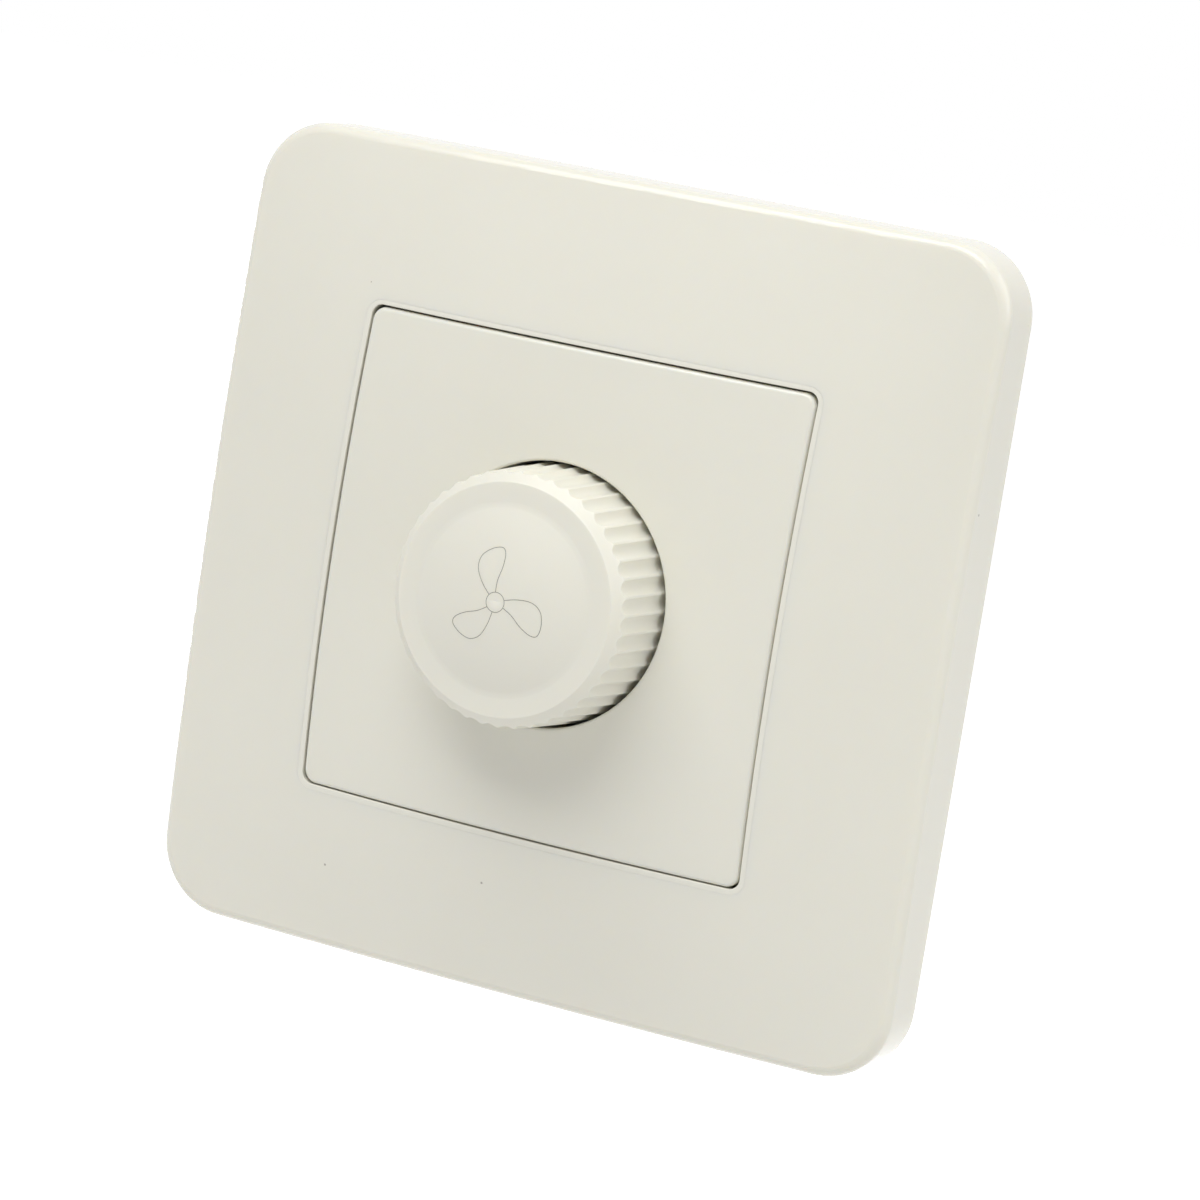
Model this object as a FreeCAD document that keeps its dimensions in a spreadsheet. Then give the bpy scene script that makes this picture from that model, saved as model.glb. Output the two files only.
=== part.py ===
import FreeCAD, Part
import os
import Sketcher
from types import SimpleNamespace
from FreeCAD import Placement, Rotation, Vector

# Fan speed control switch: a domed wall plate with a fluted knob, and the regulator behind it.
# Each piece is drawn with x to the right, y up and z from the wall towards the room,
# and its placement then stands it upright, with the room on the -Y side.

UPRIGHT = Placement(Vector(0, 0, 0), Rotation(Vector(1, 0, 0), 90))
ALONG_X = Rotation(Vector(0, 1, 0), 90)
ALONG_Y = Rotation(Vector(1, 0, 0), -90)
KNEE_RIGHT = Rotation(Vector(1, 0, 0), 90)
KNEE_LEFT = Rotation(Vector(0, 0, 1), 180).multiply(KNEE_RIGHT)
SAME = 1e-4  # lengths closer than this count as equal

# Driving dimensions in millimetres; heights are measured from the wall plane
SIZES = (
    ("overcut", 1.0, "reach of a cutting tool past the face it opens"),
    # Face frame
    ("plate_size", 86.0, "width and height of the face frame"),
    ("plate_corner", 7.6, "corner radius of the face frame"),
    ("crown_centre", 13.2, "height of the frame's dome at its centre"),
    ("crown_edge", 7.6, "height of the dome at the middle of a side"),
    ("crown_corner", 6.2, "height of the dome at a corner of the square"),
    ("crown_margin", 6.0, "how far the dome is drawn past the square"),
    ("rim_round", 1.2, "edge round of the frame's front"),
    ("frame_wall", 2.0, "wall of the frame"),
    ("opening_size", 51.9, "width of the frame's opening"),
    ("opening_corner", 1.5, "corner radius of the opening"),
    ("opening_round", 0.3, "edge round of the opening"),
    ("collar_wall", 1.4, "wall of the collar round the opening"),
    ("collar_base", 4.6, "height of the collar's lower edge"),
    ("hook_depth", 0.9, "how far a frame hook stands in"),
    ("hook_length", 9.0, "length of a frame hook"),
    ("hook_low", 0.2, "height of a hook's lower edge"),
    ("hook_high", 1.0, "height of a hook's catching edge"),
    ("hook_count", 4, "number of frame hooks, one to a side"),
    ("pry_width", 9.0, "width of the pry notch under the frame"),
    ("pry_height", 1.2, "height of the pry notch"),
    # Centre panel
    ("panel_gap", 0.45, "gap between the panel and the frame"),
    ("panel_crown", 12.5, "height of the panel's dome at its centre"),
    ("panel_drop", 0.05, "how far the panel's edge lies under the frame"),
    ("panel_wall", 1.7, "wall of the panel"),
    ("panel_round", 0.5, "edge round of the panel"),
    ("panel_inner_corner", 0.75, "corner radius inside the panel"),
    ("hole_radius", 13.75, "radius of the knob hole"),
    ("hole_round", 0.25, "edge round of the knob hole"),
    ("sleeve_wall", 1.3, "wall of the sleeve round the knob hole"),
    ("sleeve_base", 7.0, "height of the sleeve's lower edge"),
    ("leg_width", 6.0, "width of a panel leg"),
    ("leg_thickness", 1.5, "thickness of a panel leg"),
    ("leg_place", 12.0, "distance of a panel leg from the middle"),
    ("leg_reach", 1.7, "how far a leg reaches behind the base"),
    ("barb_depth", 0.8, "how far a leg's barb stands in"),
    ("barb_height", 1.2, "height of a leg's barb"),
    ("leg_slack", 0.25, "clearance round a leg"),
    # Mounting base
    ("base_gap", 0.35, "gap between the base and the frame's wall"),
    ("deck_thickness", 2.0, "thickness of the base"),
    ("rib_inset", 2.5, "distance of the stiffening rib from the base's edge"),
    ("rib_wall", 1.2, "wall of the stiffening rib"),
    ("rib_height", 1.8, "height of the stiffening rib"),
    ("screw_pitch", 60.3, "distance between the wall screws"),
    ("slot_radius", 2.1, "half width of a wall screw slot"),
    ("slot_length", 8.0, "length of a wall screw slot"),
    ("vent_width", 2.0, "width of a cooling slot"),
    ("vent_length", 12.0, "length of a cooling slot"),
    ("vent_pitch", 4.0, "distance between cooling slots"),
    ("deck_vent_place", 14.0, "distance of the first base slot from the middle"),
    ("deck_vent_count", 3, "number of cooling slots on each side of the base"),
    # Rear housing
    ("housing_width", 50.0, "width of the rear housing"),
    ("housing_height", 56.0, "height of the rear housing"),
    ("housing_depth", 26.0, "depth of the rear housing"),
    ("housing_wall", 1.8, "wall of the rear housing"),
    ("housing_corner", 3.0, "corner radius of the rear housing"),
    ("housing_round", 1.2, "edge round of the housing's back"),
    ("boss_radius", 2.8, "radius of a screw boss"),
    ("shelf_depth", 2.4, "how far a board shelf stands in"),
    ("shelf_width", 4.0, "width of a board shelf"),
    ("shelf_place", 9.0, "distance of a board shelf from the middle"),
    ("case_vent_top", 4.0, "depth at which a housing slot starts"),
    ("case_vent_length", 8.0, "length of a housing slot"),
    ("case_vent_count", 7, "number of slots in a housing wall"),
    ("fit_slack", 0.3, "clearance between loosely fitted pieces"),
    # Housing screws
    ("screw_radius", 1.2, "radius of a housing screw"),
    ("screw_length", 10.0, "length of a housing screw under its head"),
    ("screw_head_radius", 2.5, "radius of a screw head"),
    ("screw_head_height", 1.6, "height of a screw head"),
    ("recess_width", 0.7, "width of a screw's cross recess"),
    ("recess_length", 3.0, "length of a screw's cross recess"),
    ("recess_depth", 0.8, "depth of a screw's recess"),
    ("thread_slack", 0.02, "radial clearance in a thread"),
    ("screw_slack", 0.25, "radial clearance round a screw"),
    # Knob
    ("knob_gap", 0.2, "gap between the knob's lower edge and its hole"),
    ("knob_taper", 0.45, "how much narrower the knob is at its rim"),
    ("knob_base", 8.2, "height of the knob's lower edge"),
    ("knob_rim", 21.0, "height of the knob's rim"),
    ("rim_width", 1.13, "width of the knob's rim"),
    ("rim_fall", 1.15, "how far the rim falls to the knob's side"),
    ("shoulder_round", 0.4, "round between the rim and the knob's side"),
    ("knob_wall", 1.7, "wall of the knob"),
    ("ring_width", 2.3, "width of the ring round the raised centre"),
    ("ring_fall", 0.08, "how far the ring falls to its outer edge"),
    ("ring_round", 0.2, "edge round of the ring"),
    ("dome_round", 2.0, "round between the ring and the raised centre"),
    ("dome_top", 22.8, "height of the knob's raised centre"),
    ("boss_outer", 5.2, "radius of the knob's boss"),
    ("boss_base", 9.4, "height of the boss's lower edge"),
    ("bore_slack", 0.03, "radial clearance of the shaft in the knob"),
    ("knob_rib_wall", 1.1, "wall of a knob rib"),
    ("knob_rib_base", 14.0, "height of a knob rib's lower edge"),
    ("knob_rib_count", 6, "number of knob ribs"),
    ("flute_radius", 1.3, "radius of a flute's section"),
    ("flute_depth", 0.34, "depth of a flute"),
    ("flute_count", 44, "number of flutes"),
    ("spring_thickness", 0.4, "thickness of the leaf spring"),
    ("spring_width", 3.6, "width of the leaf spring"),
    # Potentiometer
    ("shaft_radius", 3.0, "radius of the shaft"),
    ("shaft_top", 18.4, "height of the shaft's end"),
    ("shaft_flat", 1.5, "distance of the shaft's flat from its axis"),
    ("bore_end_gap", 0.4, "gap between the shaft's end and the knob"),
    ("running_slack", 0.05, "radial clearance of the shaft in its bushing"),
    ("bush_radius", 3.5, "radius of the threaded bushing"),
    ("bush_top", 6.4, "height of the bushing's end"),
    ("bush_flange", 8.0, "radius of the bushing's flange"),
    ("flange_thickness", 1.2, "thickness of the bushing's flange"),
    ("lug_place", 6.6, "distance of the locating lug from the axis"),
    ("lug_size", 1.2, "thickness of the locating lug"),
    ("lug_width", 2.4, "width of the locating lug"),
    ("lug_height", 1.5, "height of the locating lug"),
    ("washer_radius", 5.6, "radius of the toothed washer"),
    ("washer_thickness", 0.5, "thickness of the toothed washer"),
    ("washer_slot", 0.8, "width of a slot between the washer's teeth"),
    ("washer_slot_depth", 1.0, "depth of a slot between the washer's teeth"),
    ("washer_teeth", 12, "number of the washer's teeth"),
    ("nut_radius", 5.7, "radius of the hexagon nut over its corners"),
    ("nut_height", 2.0, "height of the hexagon nut"),
    ("can_radius", 8.4, "radius of the can"),
    ("can_wall", 0.4, "wall of the can"),
    ("can_depth", 7.2, "depth of the can behind the base"),
    ("can_hole", 2.2, "radius of the hole in the can's floor"),
    ("window_half", 5.4, "half width of the can's window"),
    ("collar_radius", 4.2, "radius of the shaft's collar"),
    ("collar_height", 0.9, "height of the shaft's collar"),
    ("collar_slack", 0.1, "gap between the shaft's collar and the flange"),
    ("rotor_radius", 5.6, "radius of the wiper rotor"),
    ("rotor_height", 1.5, "height of the wiper rotor"),
    ("wiper_half", 0.9, "half width of the wiper"),
    ("wiper_slack", 0.25, "gap between the wiper and its track"),
    ("track_outer", 7.5, "outer radius of the resistance track"),
    ("track_inner", 3.2, "inner radius of the resistance track"),
    ("track_thickness", 0.8, "thickness of the resistance track"),
    ("blade_half", 0.6, "half width of a terminal blade"),
    ("blade_thickness", 0.4, "thickness of a terminal blade"),
    ("blade_pitch", 4.0, "distance between terminal blades"),
    ("blade_reach", 10.4, "distance of a blade's bend from the axis"),
    ("switch_size", 14.0, "width of the switch behind the potentiometer"),
    ("switch_corner", 1.5, "corner radius of the switch"),
    ("switch_gap", 0.8, "gap between the switch and the board"),
    ("pin_pitch", 8.0, "distance between the switch's pins"),
    # Circuit board
    ("board_space", 7.6, "space between the board and the housing's floor"),
    ("board_thickness", 1.6, "thickness of the board"),
    ("board_corner", 0.6, "corner radius of the board"),
    ("notch_slack", 0.6, "clearance of the board round a screw boss"),
    ("sink_thickness", 1.5, "thickness of the heat sink"),
    ("sink_gap", 0.9, "gap between the heat sink and the housing's wall"),
    ("sink_length", 26.0, "length of the heat sink"),
    ("sink_clear", 2.4, "gap between the heat sink and the base"),
    ("fin_depth", 3.0, "depth of a cooling fin"),
    ("fin_wall", 1.0, "wall of a cooling fin"),
    ("fin_pitch", 1.5, "distance between cooling fins"),
    ("fin_start", 11.0, "distance of the first fin from the heat sink's middle"),
    ("fin_count", 2, "number of cooling fins at each end"),
    ("triac_tab", 1.3, "thickness of the triac's tab"),
    ("triac_body", 4.4, "thickness of the triac"),
    ("triac_width", 9.8, "width of the triac"),
    ("triac_lift", 1.2, "height of the triac over the board"),
    ("triac_length", 8.6, "length of the triac's body"),
    ("tab_length", 6.0, "length of the triac's tab past its body"),
    ("triac_start", 6.6, "distance of the triac's lower end from the middle"),
    ("lead_half", 0.35, "half width of a lead"),
    ("lead_pitch", 2.5, "distance between the triac's leads"),
    ("lead_reach", 2.4, "how far a lead stands out of the triac"),
    ("tab_screw_radius", 1.5, "radius of the triac's screw"),
    ("tab_head_radius", 2.7, "radius of its head"),
    ("tab_head_height", 1.9, "height of its head"),
    ("choke_offset", 7.6, "distance of the choke from a screw boss, across and down"),
    ("core_outer", 6.4, "outer radius of the choke's core"),
    ("core_inner", 3.4, "inner radius of the choke's core"),
    ("core_height", 5.6, "height of the choke's core"),
    ("wire_diameter", 0.7, "wire of the choke's winding"),
    ("winding_angle", 300.0, "how far the winding goes round the core"),
    ("film_width", 13.0, "width of the film capacitor"),
    ("film_thickness", 6.0, "thickness of the film capacitor"),
    ("film_height", 11.0, "height of the film capacitor"),
    ("film_offset", 11.6, "distance of the film capacitor from a screw boss, across"),
    ("film_up", 19.4, "place of the film capacitor, up"),
    ("timing_width", 7.2, "width of the timing capacitor"),
    ("timing_thickness", 3.4, "thickness of the timing capacitor"),
    ("timing_height", 6.5, "height of the timing capacitor"),
    ("timing_across", 5.0, "place of the timing capacitor, across"),
    ("timing_up", 12.8, "place of the timing capacitor, up"),
    ("part_corner", 0.5, "corner radius of the capacitors"),
    ("fuse_radius", 2.6, "radius of the fuse's caps"),
    ("fuse_cap", 5.0, "length of a fuse cap"),
    ("glass_radius", 2.4, "radius of the fuse's glass"),
    ("glass_length", 10.0, "length of the fuse's glass"),
    ("fuse_gap", 2.4, "gap between the fuse clips and the housing's side wall"),
    ("fuse_up", -6.0, "height of the fuse's middle"),
    ("fuse_lift", 0.6, "height of the fuse over the board"),
    ("clip_wall", 0.6, "wall of a fuse clip"),
    ("clip_length", 3.2, "length of a fuse clip"),
    ("clip_slack", 0.03, "clearance of the fuse in its clip"),
    ("resistor_radius", 1.2, "radius of a resistor"),
    ("resistor_length", 6.4, "length of a resistor"),
    ("diac_radius", 0.95, "radius of the diac"),
    ("diac_length", 4.0, "length of the diac"),
    ("axial_wire", 0.3, "radius of a wire lead"),
    ("axial_reach", 1.4, "distance of a wire lead's leg from the part's end"),
    ("axial_bend", 0.6, "bend radius of a wire lead"),
    ("axial_lift", 0.3, "height of an axial part over the board"),
    ("axial_first", 12.6, "distance of the first axial part below the middle"),
    ("axial_pitch", 3.6, "distance between the axial parts"),
    # Terminals
    ("block_width", 22.0, "width of the terminal block"),
    ("block_top", 16.0, "distance of the block's upper face below the middle"),
    ("way_pitch", 11.0, "distance between the two terminals"),
    ("way_down", 20.6, "distance of a terminal screw below the middle"),
    ("entry_lift", 5.4, "distance of the wire holes from the housing's back"),
    ("entry_radius", 1.9, "radius of a wire hole"),
    ("clamp_width", 5.6, "width of a brass clamp"),
    ("clamp_length", 5.0, "length of a brass clamp"),
    ("clamp_height", 5.2, "height of a brass clamp"),
    ("terminal_radius", 1.45, "radius of a terminal screw"),
    ("terminal_head", 2.1, "radius of a terminal screw's head"),
    ("terminal_head_height", 1.5, "height of a terminal screw's head"),
    ("tip_gap", 2.0, "distance of a terminal screw's tip from the wire's middle"),
)

doc = FreeCAD.newDocument("fan_speed_switch")


# The sheet and the sizes read from it
class Length:
    """A number together with the sheet formula that it comes from."""

    def __init__(self, number, formula):
        self.number = number
        self.formula = formula

    def __add__(self, other):
        other = as_length(other)
        return Length(self.number + other.number, f"({self.formula} + {other.formula})")

    def __sub__(self, other):
        other = as_length(other)
        return Length(self.number - other.number, f"({self.formula} - {other.formula})")

    def __mul__(self, factor):
        return Length(self.number * factor, f"({self.formula} * {factor})")

    def __truediv__(self, divisor):
        return Length(self.number / divisor, f"({self.formula} / {divisor})")

    def __neg__(self):
        return self * -1


def as_length(value):
    if isinstance(value, Length):
        return value
    return Length(float(value), str(float(value)))


def fill_sheet():
    """Write the driving dimensions into a sheet and return them by name."""
    sheet = doc.addObject("Spreadsheet::Sheet", "sizes")
    for row, (name, value, note) in enumerate(SIZES, start=1):
        sheet.set(f"A{row}", name)
        sheet.set(f"B{row}", str(value))
        sheet.setAlias(f"B{row}", name)
        sheet.set(f"C{row}", note)
    doc.recompute()
    lengths = {name: Length(float(sheet.get(name)), f"sizes.{name}") for name, _, _ in SIZES}
    return SimpleNamespace(**lengths)


size = fill_sheet()
WALL = as_length(0)


# Bodies and sketches
def new_body(label):
    body = doc.addObject("PartDesign::Body", label)
    body.Label = label
    return body


def origin_part(body, role):
    return next(part for part in body.Origin.OriginFeatures if part.Role == role)


def new_sketch(body, plane, height=WALL):
    """A sketch on one of the body's origin planes, lifted by a height."""
    sketch = body.newObject("Sketcher::SketchObject", body.Label + "_sketch")
    sketch.AttachmentSupport = [(origin_part(body, plane), "")]
    sketch.MapMode = "FlatFace"
    sketch.setExpression("AttachmentOffset.Base.z", height.formula)
    return sketch


def constrain(sketch, kind, *where, to):
    index = sketch.addConstraint(Sketcher.Constraint(kind, *where, to.number))
    sketch.setExpression(f"Constraints[{index}]", to.formula)


def place_point(sketch, item, end, x, y):
    constrain(sketch, "DistanceX", -1, 1, item, end, to=as_length(x))
    constrain(sketch, "DistanceY", -1, 1, item, end, to=as_length(y))


def point(x, y):
    return Vector(as_length(x).number, as_length(y).number, 0)


def draw_outline(sketch, corners):
    """A closed outline of straight lines with every corner tied to the sheet."""
    first = sketch.GeometryCount
    following = corners[1:] + corners[:1]
    for start, end in zip(corners, following):
        sketch.addGeometry(Part.LineSegment(point(*start), point(*end)), False)
    for index, corner in enumerate(corners):
        previous = first + (index - 1) % len(corners)
        sketch.addConstraint(Sketcher.Constraint("Coincident", previous, 2, first + index, 1))
        place_point(sketch, first + index, 1, *corner)


def draw_rectangle(sketch, x, y, width, height):
    left, right = x - width / 2, x + width / 2
    low, high = y - height / 2, y + height / 2
    draw_outline(sketch, [(left, low), (right, low), (right, high), (left, high)])


def draw_circle(sketch, x, y, radius):
    circle = Part.Circle(point(x, y), Vector(0, 0, 1), radius.number)
    item = sketch.addGeometry(circle, False)
    place_point(sketch, item, 3, x, y)
    constrain(sketch, "Radius", item, to=radius)


def draw_slot(sketch, x, y, length, radius):
    """A slot along x with round ends."""
    half = length / 2 - radius
    right = add_arc(sketch, x + half, y, radius, -90, 90)
    left = add_arc(sketch, x - half, y, radius, 90, 270)
    upper_line = Part.LineSegment(point(x + half, y + radius), point(x - half, y + radius))
    lower_line = Part.LineSegment(point(x - half, y - radius), point(x + half, y - radius))
    upper = sketch.addGeometry(upper_line, False)
    lower = sketch.addGeometry(lower_line, False)
    for one, other in ((right, upper), (upper, left), (left, lower), (lower, right)):
        sketch.addConstraint(Sketcher.Constraint("Tangent", one, 2, other, 1))
    place_point(sketch, right, 3, x + half, y)
    place_point(sketch, left, 3, x - half, y)
    constrain(sketch, "Radius", right, to=radius)
    sketch.addConstraint(Sketcher.Constraint("Equal", right, left))


def add_arc(sketch, x, y, radius, start, end):
    circle = Part.Circle(point(x, y), Vector(0, 0, 1), radius.number)
    turn = FreeCAD.Units.Quantity("1 deg").getValueAs("rad").Value
    return sketch.addGeometry(Part.ArcOfCircle(circle, start * turn, end * turn), False)


def add_pad(body, sketch, length):
    pad = body.newObject("PartDesign::Pad", body.Label + "_pad")
    pad.Profile = sketch
    pad.setExpression("Length", length.formula)
    doc.recompute()
    return pad


def add_pocket(body, sketch, length=None):
    """Cut a sketch upwards out of the body, by a length or right through."""
    before = body.Shape.Volume
    pocket = body.newObject("PartDesign::Pocket", body.Label + "_pocket")
    pocket.Profile = sketch
    pocket.Reversed = True
    if length is None:
        pocket.Type = "ThroughAll"
    else:
        pocket.setExpression("Length", length.formula)
    doc.recompute()
    expect_cut(body, before)
    return pocket


def expect_cut(body, before):
    if not body.Shape.Volume < before:
        raise RuntimeError(f"{body.Label}: a cut removed nothing")


def add_revolution(body, sketch):
    """Turn a sketch of radius and height once round the z axis."""
    turned = body.newObject("PartDesign::Revolution", body.Label + "_turned")
    turned.Profile = sketch
    turned.ReferenceAxis = (sketch, ["V_Axis"])
    doc.recompute()
    return turned


def add_pattern(body, feature, count):
    pattern = body.newObject("PartDesign::PolarPattern", body.Label + "_pattern")
    pattern.Originals = [feature]
    pattern.Axis = (origin_part(body, "Z_Axis"), [""])
    pattern.Angle = 360
    pattern.setExpression("Occurrences", count.formula)
    body.Tip = pattern
    doc.recompute()
    return pattern


def add_fillet(body, feature, edges, radius):
    fillet = body.newObject("PartDesign::Fillet", body.Label + "_round")
    fillet.Base = (feature, edges)
    fillet.setExpression("Radius", radius.formula)
    doc.recompute()
    return fillet


def upright_edges(shape):
    """Names of the straight edges that run along z."""
    names = []
    for index, edge in enumerate(shape.Edges, start=1):
        start, end = edge.Vertexes[0].Point, edge.Vertexes[-1].Point
        if abs(end.z - start.z) > SAME and (end - start).cross(Vector(0, 0, 1)).Length < SAME:
            names.append(f"Edge{index}")
    return names


def ring_edges(shape, radius, height):
    """Names of the full circles at a radius and height."""
    names = []
    for index, edge in enumerate(shape.Edges, start=1):
        if edge.Degenerated or not edge.isClosed() or not isinstance(edge.Curve, Part.Circle):
            continue
        at_radius = abs(edge.Curve.Radius - radius.number) < SAME
        if at_radius and abs(edge.Curve.Center.z - height.number) < SAME:
            names.append(f"Edge{index}")
    return names


def level_edges(shape, height):
    """Names of the edges that lie flat at a height."""
    names = []
    for index, edge in enumerate(shape.Edges, start=1):
        heights = (edge.BoundBox.ZMin, edge.BoundBox.ZMax)
        if all(abs(z - height.number) < SAME for z in heights):
            names.append(f"Edge{index}")
    return names


def rounded_block(label, width, height, corner, base, top, x=WALL, y=WALL):
    """A block with rounded upright edges, centred at x and y."""
    body = new_body(label)
    sketch = new_sketch(body, "XY_Plane", base)
    draw_rectangle(sketch, x, y, width, height)
    pad = add_pad(body, sketch, top - base)
    add_fillet(body, pad, upright_edges(pad.Shape), corner)
    return body


def turned_body(label, outline):
    """A body turned from an outline of radius and height."""
    body = new_body(label)
    sketch = new_sketch(body, "XZ_Plane")
    draw_outline(sketch, outline)
    add_revolution(body, sketch)
    return body


# Blocks, rods and what is made from them
def box(label, low, high):
    thing = doc.addObject("Part::Box", label)
    for name, axis, start, end in zip(("Length", "Width", "Height"), "xyz", low, high):
        thing.setExpression(name, (end - start).formula)
        thing.setExpression(f"Placement.Base.{axis}", start.formula)
    return thing


def rod(label, start, radius, length, turn=Rotation()):
    thing = doc.addObject("Part::Cylinder", label)
    thing.Placement = Placement(Vector(0, 0, 0), turn)
    thing.setExpression("Radius", radius.formula)
    thing.setExpression("Height", length.formula)
    for axis, value in zip("xyz", start):
        thing.setExpression(f"Placement.Base.{axis}", as_length(value).formula)
    return thing


def elbow(label, centre, bend, radius, turn):
    """A quarter ring that joins two rods at a right angle."""
    thing = doc.addObject("Part::Torus", label)
    thing.Placement = Placement(Vector(0, 0, 0), turn)
    thing.Angle3 = 90
    thing.setExpression("Radius1", bend.formula)
    thing.setExpression("Radius2", radius.formula)
    for axis, value in zip("xyz", centre):
        thing.setExpression(f"Placement.Base.{axis}", value.formula)
    return thing


def fuse(label, pieces):
    thing = doc.addObject("Part::MultiFuse", label)
    thing.Shapes = pieces
    thing.Refine = True
    return thing


def group(label, pieces):
    thing = doc.addObject("Part::Compound", label)
    thing.Links = pieces
    return thing


def cut(label, base, tools):
    thing = doc.addObject("Part::Cut", label)
    thing.Base = base
    thing.Tool = tools[0] if len(tools) == 1 else fuse(label + "_tools", tools)
    return thing


def common(label, base, tool):
    thing = doc.addObject("Part::Common", label)
    thing.Base = base
    thing.Tool = tool
    return thing


def round_front(label, base, wire, radius):
    """Round the edges of a domed front: its outline is wire 0, its openings follow."""
    doc.recompute()
    shape = base.Shape
    domed = [face for face in shape.Faces if face.Surface.TypeId == "Part::GeomBezierSurface"]
    front = max(domed, key=lambda face: face.CenterOfMass.z)
    outline = [front.OuterWire] + [w for w in front.Wires if not w.isSame(front.OuterWire)]
    chosen = outline[wire].Edges
    thing = doc.addObject("Part::Fillet", label)
    thing.Base = base
    indices = [i for i, edge in enumerate(shape.Edges, start=1) if any(edge.isSame(c) for c in chosen)]
    thing.Edges = [(i, radius.number, radius.number) for i in indices]
    return thing


# The domed front
def frame_crown_height(x, y):
    """Height of the frame's dome over a point of the wall."""
    centre, edge, corner = size.crown_centre.number, size.crown_edge.number, size.crown_corner.number
    half = size.plate_size.number / 2
    across, up = (x / half) ** 2, (y / half) ** 2
    return centre - (centre - edge) * (across + up) + (centre - 2 * edge + corner) * across * up


def crown_solid(label, half, centre, edge, corner, drop):
    """The solid under a pillow-shaped front, from its height at the centre, mid-side and corner."""
    span = half + size.crown_margin.number
    stretch = (span / half) ** 2
    fall, twist = (centre - edge) * stretch, (centre - 2 * edge + corner) * stretch ** 2
    patch = Part.BezierSurface()
    patch.increase(2, 2)
    # A parabola's three poles: level with its ends, and as far past its crown in between
    steps = ((-1, 1), (0, -1), (1, 1))
    for column, (x, x_sign) in enumerate(steps, start=1):
        for row, (y, y_sign) in enumerate(steps, start=1):
            height = centre - drop - fall * (x_sign + y_sign) + twist * x_sign * y_sign
            patch.setPole(column, row, Vector(x * span, y * span, height))
    solid = doc.addObject("Part::Feature", label)
    solid.Shape = patch.toShape().extrude(Vector(0, 0, -2 * size.plate_size.number))
    return solid


def frame_crown(label, drop):
    return crown_solid(
        label,
        size.plate_size.number / 2,
        size.crown_centre.number,
        size.crown_edge.number,
        size.crown_corner.number,
        drop,
    )


def panel_crown(label, drop):
    half = panel_size.number / 2
    return crown_solid(
        label,
        half,
        size.panel_crown.number,
        frame_crown_height(half, 0) - size.panel_drop.number,
        frame_crown_height(half, half) - size.panel_drop.number,
        drop,
    )


# Sizes that several pieces share
panel_size = size.opening_size - size.panel_gap * 2
base_size = size.plate_size - size.frame_wall * 2 - size.base_gap * 2
knob_radius = size.hole_radius - size.knob_gap
rim_radius = knob_radius - size.knob_taper
inner_width = size.housing_width - size.housing_wall * 2
inner_height = size.housing_height - size.housing_wall * 2
SIDES = (-1, 1)
CORNERS = [(across, up) for across in SIDES for up in SIDES]
boss_place = panel_size / 2 - size.panel_wall - size.screw_head_radius - size.fit_slack
BOSSES = [(boss_place * across, boss_place * up) for across, up in CORNERS]
leg_outer = panel_size / 2
leg_inner = leg_outer - size.leg_thickness
housing_floor = size.housing_wall - size.housing_depth
board_back = housing_floor + size.board_space
board_front = board_back + size.board_thickness
nut_base = size.deck_thickness + size.washer_thickness
flange_back = -size.flange_thickness
can_floor = size.can_wall - size.can_depth
collar_top = flange_back - size.collar_slack
rotor_top = collar_top - size.collar_height
track_top = can_floor + size.track_thickness
sink_back = inner_width / 2 - size.sink_gap
sink_face = sink_back - size.sink_thickness
fuse_axis = board_front + size.fuse_lift + size.fuse_radius
fuse_x = size.fuse_gap + size.clip_wall + size.fuse_radius - inner_width / 2
choke_x = size.choke_offset - boss_place
choke_y = boss_place - size.choke_offset
film_x = boss_place - size.film_offset
entry_depth = size.housing_depth - size.entry_lift
WAYS = [size.way_pitch / 2 * side for side in SIDES]


# Covers
def make_face_frame():
    """Domed frame: hollow behind, with a collar round its opening and hooks that grip the base."""
    top = size.crown_centre + size.overcut
    blank = rounded_block("frame_blank", size.plate_size, size.plate_size, size.plate_corner, WALL, top)
    outside = common("frame_outside", blank, frame_crown("frame_front", 0))
    rounded = round_front("frame_rounded", outside, 0, size.rim_round)
    inside = size.plate_size - size.frame_wall * 2
    corner = size.plate_corner - size.frame_wall
    space = rounded_block("frame_space", inside, inside, corner, -size.overcut, top)
    hollow = common("frame_hollow", space, frame_crown("frame_ceiling", size.frame_wall.number))
    collar_size = size.opening_size + size.collar_wall * 2
    collar_corner = size.opening_corner + size.collar_wall
    collar = rounded_block("frame_collar", collar_size, collar_size, collar_corner, size.collar_base, top)
    opening = rounded_block(
        "frame_opening", size.opening_size, size.opening_size, size.opening_corner, -size.overcut, top
    )
    pry_half = size.pry_width / 2
    pry_low = -size.plate_size / 2 - size.overcut
    pry = box(
        "frame_pry_notch",
        (-pry_half, pry_low, -size.overcut),
        (pry_half, -inside / 2 + size.overcut, size.pry_height),
    )
    ring = cut("frame_ring", hollow, [collar])
    shell = cut("frame_shell", rounded, [ring, opening, pry])
    eased = round_front("frame_eased", shell, 1, size.opening_round)
    return fuse("face_frame", [eased, make_frame_hooks(inside / 2)])


def make_frame_hooks(wall):
    """One wedge in the middle of each of the frame's four walls."""
    hooks = new_body("frame_hooks")
    sketch = new_sketch(hooks, "XZ_Plane")
    tip = wall - size.hook_depth
    root = wall + size.frame_wall / 2
    low, high = size.hook_low, size.hook_high
    draw_outline(sketch, [(root, low), (wall, low), (tip, high), (root, high)])
    wedge = add_pad(hooks, sketch, size.hook_length)
    wedge.Midplane = True
    add_pattern(hooks, wedge, size.hook_count)
    return hooks


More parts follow.
